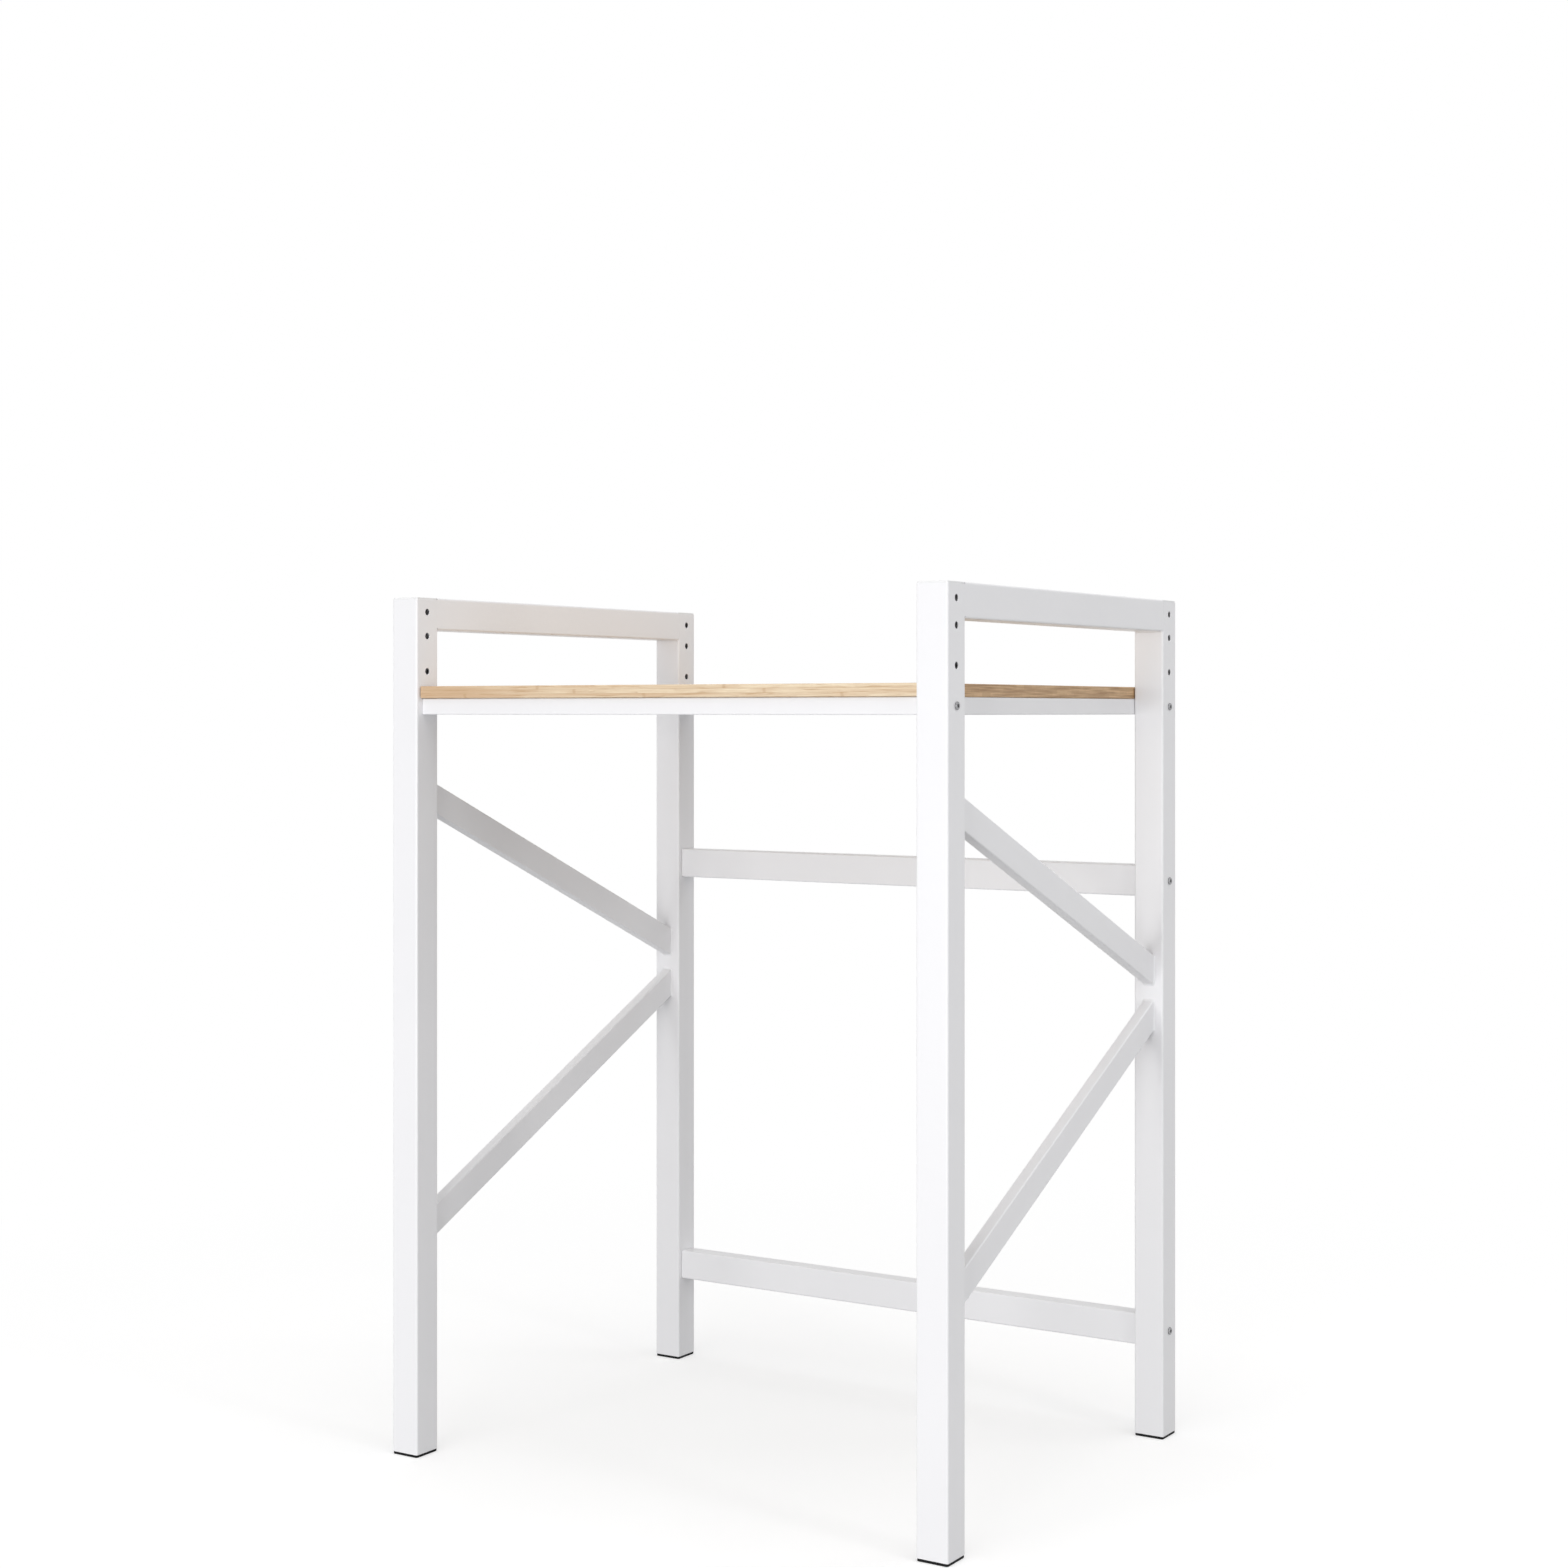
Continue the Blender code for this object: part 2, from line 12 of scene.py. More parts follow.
# %% Load the construction model
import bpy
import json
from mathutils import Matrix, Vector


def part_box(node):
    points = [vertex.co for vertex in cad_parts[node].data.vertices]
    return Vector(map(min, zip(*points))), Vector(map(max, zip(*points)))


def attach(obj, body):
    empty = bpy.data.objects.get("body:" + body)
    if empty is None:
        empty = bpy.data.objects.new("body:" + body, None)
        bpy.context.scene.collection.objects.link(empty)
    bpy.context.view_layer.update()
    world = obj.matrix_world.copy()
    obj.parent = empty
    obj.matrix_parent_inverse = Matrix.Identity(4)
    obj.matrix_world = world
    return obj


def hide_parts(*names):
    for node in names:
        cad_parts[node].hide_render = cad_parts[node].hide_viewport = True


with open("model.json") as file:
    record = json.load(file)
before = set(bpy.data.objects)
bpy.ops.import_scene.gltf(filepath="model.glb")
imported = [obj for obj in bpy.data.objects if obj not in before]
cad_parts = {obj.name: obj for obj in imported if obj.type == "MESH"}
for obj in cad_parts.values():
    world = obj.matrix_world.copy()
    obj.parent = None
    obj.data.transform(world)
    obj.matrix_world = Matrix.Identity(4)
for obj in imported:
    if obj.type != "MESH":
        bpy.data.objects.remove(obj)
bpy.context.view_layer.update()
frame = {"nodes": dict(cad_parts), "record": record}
print("Pieces in the construction model:", len(frame["nodes"]))

# %% Bring in the modelling modules
import json
import math

import bmesh
import bpy
from mathutils import Matrix, Vector

print("Blender", bpy.app.version_string)

# %% [markdown]
# ## The camera
# A camera could be placed by eye. Here it comes from the photograph: the posts'
# upright edges stay parallel in it, so the camera was level, and its height and
# distance follow from where the posts' ends fall. A level camera that still shows the
# feet has its lens shifted down, as an architectural photographer does it. The
# horizon's row in the picture gives that shift, and the focal length in pixels gives
# the lens.

# %% Place the camera
IMAGE_SIDE = 1568  # pixels, across and down
FOCAL_LENGTH = 2531  # pixels
HORIZON_ROW = 712.2  # pixels, down from the top
SENSOR_MM = 36
CAMERA_PLACE = (1.713, -2.716, 0.927)
CAMERA_TURN = math.radians(32.37)

camera = bpy.data.objects.new("camera", bpy.data.cameras.new("camera"))
camera.data.sensor_width = SENSOR_MM
camera.data.lens = SENSOR_MM * FOCAL_LENGTH / IMAGE_SIDE
camera.data.shift_y = (HORIZON_ROW - IMAGE_SIDE / 2) / IMAGE_SIDE
camera.location = CAMERA_PLACE
camera.rotation_euler = (math.pi / 2, 0, CAMERA_TURN)
bpy.context.scene.collection.objects.link(camera)
bpy.context.scene.camera = camera
bpy.context.scene.view_settings.view_transform = "Standard"
print(f"Lens {camera.data.lens:.1f} mm, shifted by {camera.data.shift_y:.4f} of the frame")

# %% [markdown]
# ## Nodes in few words
# Floor, light and every finish are node trees. Each node could be made and wired in
# four or five lines. One small function does it instead: it takes the node's kind,
# what feeds its inputs, and its settings. A feed is a plain value or another node's
# output.

# %% Helpers that add nodes
def wire(tree, kind, feeds=None, **settings):
    """Adds a node, with a value or another node's output on each named input."""
    node = tree.nodes.new("ShaderNode" + kind)
    for setting, value in settings.items():
        setattr(node, setting, value)
    for plug, value in (feeds or {}).items():
        if isinstance(value, bpy.types.NodeSocket):
            tree.links.new(value, node.inputs[plug])
        else:
            node.inputs[plug].default_value = value
    return node


def maths(tree, operation, first, second=0.0, third=0.0):
    """The output of a Math node, which takes numbers or other outputs."""
    return wire(tree, "Math", {0: first, 1: second, 2: third}, operation=operation).outputs[0]


def vector_maths(tree, operation, first, second):
    """The output of a Vector Math node, which does the same with points."""
    return wire(tree, "VectorMath", {0: first, 1: second}, operation=operation).outputs[0]


def seen_directly(tree):
    """One for what the camera sees, itself or in gloss, and zero for light that bounces."""
    path = wire(tree, "LightPath").outputs
    gloss = maths(tree, "MAXIMUM", path["Is Glossy Ray"], path["Is Transmission Ray"])
    return maths(tree, "MAXIMUM", path["Is Camera Ray"], gloss)


print("A node takes one line from here on")

# %% [markdown]
# ## The sky
# The photograph has a pure white ground with faint shadows under the feet. Pouring
# light on the scene would bleach the white steel too. So the ground is white only
# where it is seen: the sky and the floor add their glow to the camera's rays, while
# the stand itself is lit by a dimmer sky, a mid grey floor and the lamps.

# %% Hang the sky
SKY_STRENGTH = 0.66  # for the light that reaches the stand, where 1 is white

sky = bpy.data.worlds.new("white_studio")
sky.use_nodes = True
background = sky.node_tree.nodes["Background"]
background.inputs["Color"].default_value = (1, 1, 1, 1)
seen = seen_directly(sky.node_tree)
strength = maths(sky.node_tree, "MULTIPLY_ADD", seen, 1 - SKY_STRENGTH, SKY_STRENGTH)
sky.node_tree.links.new(strength, background.inputs["Strength"])
bpy.context.scene.world = sky
print(f"The sky is seen as white and lights the stand with {SKY_STRENGTH} of it")

# %% [markdown]
# ## The floor
# A plain sheet lies under the feet. A shadow catcher could show its shadows alone, but
# it leaves the rest of the picture see-through, to be filled in with white afterwards.
# So the sheet is painted. Near the stand the shadows on the paint are real and stay.
# Further out it fades into plain white, so that it meets the sky without a line.

# %% Lay the floor
FLOOR_SIDE = 30.0
FLOOR_GREY = 0.38  # what the floor sends back to the stand
FLOOR_SHOWN = 0.70  # how much of the seen floor is paint that takes shadows
FLOOR_GLOW = 0.42  # how much of it is plain white
PAINT_ENDS = (0.7, 2.0)  # from where to where the paint fades, out from the stand's middle

paint = bpy.data.materials.new("white_floor")
paint.use_nodes = True
tree = paint.node_tree
tree.nodes.remove(tree.nodes["Principled BSDF"])
grey = wire(tree, "BsdfDiffuse", {"Color": (FLOOR_GREY, FLOOR_GREY, FLOOR_GREY, 1)})
shown = wire(tree, "BsdfDiffuse", {"Color": (FLOOR_SHOWN, FLOOR_SHOWN, FLOOR_SHOWN, 1)})
glow = wire(tree, "Emission", {"Strength": FLOOR_GLOW})
lit = wire(tree, "AddShader", {0: shown.outputs[0], 1: glow.outputs[0]})
white = wire(tree, "Emission", {"Strength": 1.0})
metres = wire(tree, "TexCoord").outputs["Object"]
away = wire(tree, "VectorMath", {0: metres}, operation="LENGTH").outputs["Value"]
limits = {"Value": away, "From Min": PAINT_ENDS[0], "From Max": PAINT_ENDS[1]}
fade = wire(tree, "MapRange", limits, interpolation_type="SMOOTHSTEP").outputs["Result"]
ground = wire(tree, "MixShader", {0: fade, 1: lit.outputs[0], 2: white.outputs[0]})
blend = wire(tree, "MixShader", {0: seen_directly(tree), 1: grey.outputs[0], 2: ground.outputs[0]})
tree.links.new(blend.outputs[0], tree.nodes["Material Output"].inputs["Surface"])

sheet = bmesh.new()
bmesh.ops.create_grid(sheet, x_segments=1, y_segments=1, size=FLOOR_SIDE / 2)
floor = bpy.data.objects.new("floor", bpy.data.meshes.new("floor"))
sheet.to_mesh(floor.data)
sheet.free()
floor.data.materials.append(paint)
bpy.context.scene.collection.objects.link(floor)
print(f"Floor {FLOOR_SIDE:.0f} m across, white from {PAINT_ENDS[1]} m outwards")

# %% [markdown]
# ## The lamps
# In the photograph the faces towards the front are nearly white, those towards the
# right are a light grey and a little darker at the rear, and thin bright lines run
# along the tubes' corners. So the main lamp is a wide and low box in front, far enough
# off to light the posts alike from top to foot. A tall narrow strip at the right and a
# small box high behind it give little light, but a small lamp is a bright one: it is
# what the rounded corners mirror as lines. A box overhead lifts the tops.
#
# A white card that faces a lamp is as bright as the lamp's power, divided by the square
# of pi times the distance. So each lamp is given the brightness that it adds at the
# middle of the stand, and its power is worked out.

# %% Hang the lamps
AIM = Vector((0, 0, 0.55))
LAMPS = {
    # name: (where it stands, its width and height in metres, the brightness that it adds)
    "front_box": (Vector((0.2, -4.4, 0.62)), (3.0, 1.2), 0.485),
    "right_strip": (Vector((3.2, -0.8, 1.2)), (0.5, 1.6), 0.125),
    "rear_box": (Vector((2.2, 1.7, 3.1)), (0.6, 0.6), 0.03),
    "top_box": (Vector((0.2, -0.4, 4.4)), (2.4, 2.4), 0.18),
}

for name, (place, size, brightness) in LAMPS.items():
    lamp = bpy.data.lights.new(name, "AREA")
    lamp.shape = "RECTANGLE"
    lamp.size, lamp.size_y = size
    distance = (place - AIM).length
    lamp.energy = brightness * (math.pi * distance) ** 2
    box = bpy.data.objects.new(name, lamp)
    box.location = place
    box.rotation_euler = (AIM - place).to_track_quat("-Z", "Y").to_euler()
    bpy.context.scene.collection.objects.link(box)
    print(f"{name}: {lamp.energy:.0f} W at {distance:.1f} m")

# %% [markdown]
# ## Starting a finish
# Every finish is a Principled shader. What is the same all over the surface is set on
# the shader's own sockets. What varies is drawn by textures that are laid out in
# metres, so a grain that is 1 mm on the real stand is 1 mm here on every piece.

# %% Start a finish
def start_finish(name, sockets):
    """A material whose shader has these constants, and its texture coordinates in metres."""
    material = bpy.data.materials.new(name)
    material.use_nodes = True
    tree = material.node_tree
    shader = tree.nodes["Principled BSDF"]
    for socket, value in sockets.items():
        shader.inputs[socket].default_value = value
    metres = wire(tree, "TexCoord").outputs["Object"]
    return material, tree, shader, metres


def feed(tree, shader, socket, value):
    tree.links.new(value, shader.inputs[socket])


print("Finishes are drawn in metres")

# %% [markdown]
# ## Drawing with noise
# Real surfaces are never even, and never uneven twice in the same way. Photographs of
# them could be used, but they repeat and show seams. Most of the finishes' unevenness
# is cloudy noise instead. A ramp of four numbers says what becomes of it: the result
# goes from the first number to the second while the noise goes from the third to the
# fourth, and is held at both ends. With two numbers the noise goes from 0 to 1.

# %% Helpers that draw
NOISE_RANGE = (0.3, 0.7)  # nearly all of cloudy noise lies between these


def stretched(tree, points, way, share):
    """Points squeezed along X, Y or Z, so that what is drawn on them is stretched that way."""
    squeeze = [share if axis == way else 1 for axis in "XYZ"]
    return vector_maths(tree, "MULTIPLY", points, squeeze)


def grain(tree, metres, size, detail=2.0, roughness=0.5):
    """Cloudy noise from 0 to 1 whose blotches are about the given size."""
    feeds = {"Vector": metres, "Scale": 1 / size, "Detail": detail, "Roughness": roughness}
    return wire(tree, "TexNoise", feeds).outputs["Fac"]


def spread(tree, value, first, last, start=0.0, stop=1.0):
    """A ramp, which goes from first to last while the value goes from start to stop."""
    feeds = {"Value": value, "From Min": start, "From Max": stop, "To Min": first, "To Max": last}
    return wire(tree, "MapRange", feeds).outputs["Result"]


def between(tree, share, first, second):
    """A mix of two colours, each a colour or another node's output."""
    return wire(tree, "Mix", {"Factor": share, 6: first, 7: second}, data_type="RGBA").outputs[2]


def emboss(tree, shader, *layers):
    """Raises the surface by layers of (height from 0 to 1, depth in metres)."""
    normal = None
    for height, depth in layers:
        feeds = {"Height": height, "Distance": depth}
        if normal:
            feeds["Normal"] = normal
        normal = wire(tree, "Bump", feeds).outputs["Normal"]
    tree.links.new(normal, shader.inputs["Normal"])


print("Nearly all noise lies between {} and {}".format(*NOISE_RANGE))

# %% [markdown]
# ## White powder coat
# Powder coat is sprayed on dry and baked until it flows. It never flows quite flat:
# close to, it has orange peel, soft dimples 1 to 2 mm across and a few thousandths of
# a millimetre deep, with a finer sand in them. A bump from two sizes of noise gives
# that. Its colour is even, but the film's thickness drifts over a hand's breadth, so
# its tone wanders by a percent or two and its gloss by rather more. Where the film is
# thin it is a trace greyer, and a coarse speck of pigment here and there does the same.

# %% Mix the powder coat
COAT_WHITE = (0.882, 0.880, 0.898, 1)
COAT_THIN = (0.842, 0.842, 0.862, 1)
PEEL_SIZE = 0.0016
PEEL_DEPTH = 0.000003
SAND_SIZE = 0.0004
SAND_DEPTH = 0.0000004
DRIFT_SIZE = 0.12
THIN_PATCHES = (0.0, 0.35, 0.35, 0.75)
COARSE_SPECKS = (0.0, 0.25, 0.55, 0.80)
COAT_ROUGHNESS = (0.28, 0.38, *NOISE_RANGE)


def powder_coat():
    material, tree, shader, metres = start_finish("white_powder_coat", {"IOR": 1.5})
    drift = grain(tree, metres, DRIFT_SIZE, detail=3)
    peel = grain(tree, metres, PEEL_SIZE, detail=1)
    sand = grain(tree, metres, SAND_SIZE)
    patches = spread(tree, drift, *THIN_PATCHES)
    share = maths(tree, "ADD", patches, spread(tree, sand, *COARSE_SPECKS))
    feed(tree, shader, "Base Color", between(tree, share, COAT_WHITE, COAT_THIN))
    feed(tree, shader, "Roughness", spread(tree, drift, *COAT_ROUGHNESS))
    emboss(tree, shader, (peel, PEEL_DEPTH), (sand, SAND_DEPTH))
    return material


WHITE_COAT = powder_coat()
print("The powder coat takes", len(WHITE_COAT.node_tree.nodes), "nodes")

# %% [markdown]
# ## Laminated bamboo
# A bamboo board is glued up from split canes, planed to strips of about 20 x 5 mm.
# Three layers of them lie flat, all along the board's width. An image could not be laid
# round such a board without a seam. Here the strip that a point belongs to is worked
# out from its place, as a whole number, and a White Noise node turns that number into
# the strip's own random colour. Its red, green and blue give the strip its own tone and
# its own place on the cane.

# %% Find each point's strip
STRIP_WIDTH = 0.020
STRIP_HEIGHT = 0.005
FIRST_SHIFT_SHARE = 0.41  # of a strip's width, by which the lowest layer is moved on
LAYER_SHIFT_SHARE = 0.37  # and by which each layer is moved on from the one below
GLUE_WIDTH = 0.00025
BOARD_LOW, BOARD_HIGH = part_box("shelf_board")


def off_middle(tree, count, wobble=0.0):
    """How far a count is from halfway between two whole numbers, give or take a wobble."""
    past = maths(tree, "SUBTRACT", maths(tree, "FRACT", count), 0.5)
    return maths(tree, "ABSOLUTE", maths(tree, "ADD", past, wobble))


def strip_of(tree, metres):
    """For each point: its place, its strip's random colour, and how near a glue line is."""
    place = wire(tree, "SeparateXYZ", {0: metres}).outputs
    # Half a glue line keeps the board's faces clear of the layers' limits
    height = maths(tree, "SUBTRACT", place["Z"], BOARD_LOW.z + GLUE_WIDTH / 2)
    layers_up = maths(tree, "DIVIDE", height, STRIP_HEIGHT)
    layer = maths(tree, "FLOOR", layers_up)
    shifts = (LAYER_SHIFT_SHARE * STRIP_WIDTH, FIRST_SHIFT_SHARE * STRIP_WIDTH)
    shifted = maths(tree, "ADD", place["Y"], maths(tree, "MULTIPLY_ADD", layer, *shifts))
    strips_in = maths(tree, "DIVIDE", shifted, STRIP_WIDTH)
    strip = maths(tree, "FLOOR", strips_in)
    key = wire(tree, "CombineXYZ", {"X": strip, "Y": layer}).outputs[0]
    own = wire(tree, "TexWhiteNoise", {"Vector": key}, noise_dimensions="3D").outputs["Color"]
    to_glue = []
    for count, pitch in ((strips_in, STRIP_WIDTH), (layers_up, STRIP_HEIGHT)):
        inside = maths(tree, "SUBTRACT", 0.5, off_middle(tree, count))
        to_glue.append(maths(tree, "MULTIPLY", inside, pitch))
    return place, own, maths(tree, "MINIMUM", *to_glue)


print("Board", [round(side, 4) for side in BOARD_HIGH - BOARD_LOW])

# %% [markdown]
# ### Fibres that swing
# Fibres run down each strip, and swing to and fro as the cane grew. They could be drawn
# as waves, but waves repeat. Noise on stretched points doesn't. The points are first
# moved on by the strip's random colour, so that no strip carries its neighbour's pattern
# on, and then pushed aside by a slower noise, which makes the swing.

# %% Let the fibres swing
FIBRE_SIZE = 0.0007
FIBRE_STRETCH_SHARE = 0.012  # a fibre's width over its length
BEND_LENGTH = 0.05  # the fibres swing to and fro over this length
BEND_SLIMNESS = 9  # a bend's length over its width
BEND_REACH = 0.005  # how far the fibres swing


def along_cane(tree, metres, own):
    """The points, moved on by each strip's own amount and swung to and fro like its fibres."""
    moved = vector_maths(tree, "ADD", metres, own)
    slow = stretched(tree, moved, "X", math.sqrt(FIBRE_STRETCH_SHARE))
    swing = grain(tree, slow, BEND_LENGTH / BEND_SLIMNESS)
    aside = spread(tree, swing, -BEND_REACH / 2, BEND_REACH / 2)
    bend = wire(tree, "CombineXYZ", {"Y": aside, "Z": aside}).outputs[0]
    return vector_maths(tree, "ADD", moved, bend)


print(f"A fibre is about {FIBRE_SIZE / FIBRE_STRETCH_SHARE * 1000:.0f} mm long")

# %% [markdown]
# ### The strips' long faces
# Along the front the strips show their long sides. Broad streaks and short brown flecks
# lie among the fibres. Every 270 mm the cane had a knuckle, which shows as a faint brown
# band in a warmer halo, at another place on each strip. The board is drawn darker and
# warmer towards its left end. All this could be one picture of wood. Here each mark is one
# more thin coat of colour over the last, so that each can be mixed on its own.

# %% Draw the long grain
STREAK_SIZE = 0.0042
FLECK_SIZE = 0.0018
FLECK_STRETCH_SHARE = 0.03
KNUCKLE_SPACING = 0.27
LEFT_END_REACH = 0.20  # from the board's left end, over which it is drawn darker and warmer
# how much darker and warmer the board's left end is drawn
LEFT_END_TONE = 0.75
PALE_CANE = (0.84, 0.71, 0.52, 1)
WARM_CANE = (0.63, 0.44, 0.275, 1)
CANE_BROWN = (0.42, 0.22, 0.085, 1)
STRIP_TONES = (0.0, 0.30)
STREAK_TONES = (-0.25, 0.60, *NOISE_RANGE)
FIBRE_TONES = (0.0, 0.30, 0.45, 0.75)
FLECK_TONES = (0.0, 0.55, 0.54, 0.72)
KNUCKLE_WOBBLE = (-0.004, 0.004, *NOISE_RANGE)  # in shares of the spacing, like the next two
KNUCKLE_BAND = (0.30, 0.0, 0.003, 0.012)
KNUCKLE_HALO = (0.30, 0.0, 0.012, 0.080)


def long_grain(tree, metres, place, own):
    """The colour of the strips' long faces, and the height of their fibres."""
    points = along_cane(tree, metres, own)
    own = wire(tree, "SeparateColor", {0: own}).outputs
    drawn_out = stretched(tree, points, "X", FIBRE_STRETCH_SHARE)
    fibres = grain(tree, drawn_out, FIBRE_SIZE, detail=3, roughness=0.6)
    streaks = grain(tree, drawn_out, STREAK_SIZE)
    flecks = grain(tree, stretched(tree, points, "X", FLECK_STRETCH_SHARE), FLECK_SIZE)
    # The board is drawn darker and warmer towards its left end
    left_end_shift = spread(tree, place["X"], LEFT_END_TONE, 0.0, BOARD_LOW.x, BOARD_LOW.x + LEFT_END_REACH)
    tone = maths(tree, "ADD", spread(tree, own["Red"], *STRIP_TONES), left_end_shift)
    tone = maths(tree, "ADD", tone, spread(tree, streaks, *STREAK_TONES))
    cane = between(tree, spread(tree, tone, 0.0, 1.0), PALE_CANE, WARM_CANE)
    cane = between(tree, spread(tree, fibres, *FIBRE_TONES), cane, CANE_BROWN)
    cane = between(tree, spread(tree, flecks, *FLECK_TONES), cane, CANE_BROWN)
    knuckles = maths(tree, "DIVIDE", place["X"], KNUCKLE_SPACING)
    knuckles = maths(tree, "ADD", knuckles, own["Green"])
    away = off_middle(tree, knuckles, spread(tree, streaks, *KNUCKLE_WOBBLE))
    cane = between(tree, spread(tree, away, *KNUCKLE_HALO), cane, WARM_CANE)
    return between(tree, spread(tree, away, *KNUCKLE_BAND), cane, CANE_BROWN), fibres


print(f"A strip shows {(BOARD_HIGH - BOARD_LOW).x / KNUCKLE_SPACING:.1f} knuckles")

# %% [markdown]
# ### The strips' cut ends
# At the sides the strips show their cut ends. They are darker, because end grain
# drinks the oil, and dotted with the cane's fibre bundles. Noise could make spots, but
# they would run together. A Voronoi texture has one dot to a cell, which is just how
# the bundles lie.

# %% Draw the end grain
BUNDLE_SIZE = 0.0007
END_PALE = (0.72, 0.49, 0.28, 1)
END_DARK = (0.33, 0.185, 0.085, 1)
END_TONES = (0.0, 0.35)
END_BANDS = (0.0, 0.85, 0.38, 0.66)
BUNDLE_DOTS = (0.25, 0.0, 0.15, 0.45)


def end_grain(tree, metres, own):
    """The colour of the strips' cut ends, dotted with fibre bundles."""
    tone = wire(tree, "SeparateColor", {0: own}).outputs["Red"]
    cells = {"Vector": metres, "Scale": 1 / BUNDLE_SIZE}
    bundles = wire(tree, "TexVoronoi", cells).outputs["Distance"]
    bands = grain(tree, stretched(tree, metres, "Y", FLECK_STRETCH_SHARE), FLECK_SIZE, detail=3)
    wood = between(tree, spread(tree, tone, *END_TONES), END_PALE, END_DARK)
    wood = between(tree, spread(tree, bands, *END_BANDS), wood, END_DARK)
    return between(tree, spread(tree, bundles, *BUNDLE_DOTS), wood, END_DARK)


print(f"A cut end has a bundle every {BUNDLE_SIZE * 1000} mm")

# %% [markdown]
# ### Gluing it up
# The board's two sides show end grain and all its other faces show long grain. Two
# materials on one block would meet in a hard line. Here one material asks at each
# point which way the face looks, by its normal, and changes over on the eased edge.
# The glue shows as a thin brown line that lies a little below the wood.

# %% Glue the bamboo up
GLUE_BROWN = (0.47, 0.29, 0.13, 1)
GLUE_LINE = (0.8, 0.0, 0.0, GLUE_WIDTH)
GLUE_GROOVE = (0.0, 1.0, 0.0, GLUE_WIDTH)
CUT_FACING = (0.0, 1.0, 0.6, 0.8)
BAMBOO_ROUGHNESS = (0.38, 0.58, *NOISE_RANGE)
FIBRE_DEPTH = 0.00003
GROOVE_DEPTH = 0.00005


def laminated_bamboo():
    material, tree, shader, metres = start_finish("bamboo", {"IOR": 1.45})
    place, own, glue = strip_of(tree, metres)
    long_side, fibres = long_grain(tree, metres, place, own)
    facing = wire(tree, "TexCoord").outputs["Normal"]
    sideways = wire(tree, "SeparateXYZ", {0: facing}).outputs["X"]
    cut = spread(tree, maths(tree, "ABSOLUTE", sideways), *CUT_FACING)
    wood = between(tree, cut, long_side, end_grain(tree, metres, own))
    wood = between(tree, spread(tree, glue, *GLUE_LINE), wood, GLUE_BROWN)
    feed(tree, shader, "Base Color", wood)
    feed(tree, shader, "Roughness", spread(tree, fibres, *BAMBOO_ROUGHNESS))
    groove = spread(tree, glue, *GLUE_GROOVE)
    emboss(tree, shader, (fibres, FIBRE_DEPTH), (groove, GROOVE_DEPTH))
    return material


BAMBOO = laminated_bamboo()
print("The bamboo takes", len(BAMBOO.node_tree.nodes), "nodes")

# %% [markdown]
# ## Moulded plastic
# The plugs are injection moulded. A mould is spark eroded to a fine leathery grain that
# hides flow marks, so the plastic is dull and dimpled. Handling and the floor leave
# upright scuffs on it, a little paler on the black feet and greyer on the white caps.
# One recipe serves both, because only the colours and the gloss differ.

# %% Mould the plastics
PIT_SIZE = 0.0005
PIT_DEPTH = 0.00004
FLOW_SIZE = 0.012
FLOW_TONES = (0.0, 0.3)
SCUFF_SIZE = 0.003
SCUFF_STRETCH_SHARE = 0.2
SCUFF_TONES = (0.0, 0.8, 0.55, 0.80)


def moulded(name, color, scuffed, roughness, gloss):
    """A grained plastic, mottled between two colours and from a low to a high roughness."""
    material, tree, shader, metres = start_finish(name, {"IOR": 1.46, "Specular IOR Level": gloss})
    pits = grain(tree, metres, PIT_SIZE, detail=3)
    flow = grain(tree, metres, FLOW_SIZE)
    upright = stretched(tree, metres, "Z", SCUFF_STRETCH_SHARE)
    scuffs = grain(tree, upright, SCUFF_SIZE, detail=4, roughness=0.7)
    share = maths(tree, "ADD", spread(tree, scuffs, *SCUFF_TONES), spread(tree, flow, *FLOW_TONES))
    feed(tree, shader, "Base Color", between(tree, share, color, scuffed))
    feed(tree, shader, "Roughness", spread(tree, scuffs, *roughness, *NOISE_RANGE))
    emboss(tree, shader, (pits, PIT_DEPTH))
    return material


BLACK_PLASTIC = moulded(
    "black_plastic",
    color=(0.004, 0.004, 0.005, 1),
    scuffed=(0.022, 0.021, 0.020, 1),
    roughness=(0.50, 0.70),
    gloss=0.15,
)
WHITE_PLASTIC = moulded(
    "white_plastic",
    color=(0.86, 0.865, 0.87, 1),
    scuffed=(0.80, 0.80, 0.80, 1),
    roughness=(0.40, 0.55),
    gloss=0.5,
)
print("A plastic takes", len(BLACK_PLASTIC.node_tree.nodes), "nodes")

# %% [markdown]
# ## Bolt steel
# The bolts are phosphated: a hot bath grows a dull grey skin of tiny crystals on the
# steel, and a thin oil film on it pools in patches. The blocks and the board's screws
# are zinc plated, and zinc grows in flat crystals, each a shade of its own. Both are a
# metal with varying tone and gloss, so one recipe serves, with a Voronoi texture for
# the crystals.

# %% Plate the steels
CRYSTAL_SHARE = 0.4  # of the difference between the dark and the pale tone
FILM_TONES = (0.0, 0.6, *NOISE_RANGE)
FILM_CRYSTALS = 3  # how many crystals a patch of the film is wide
FILM_DEPTH = 0.000008


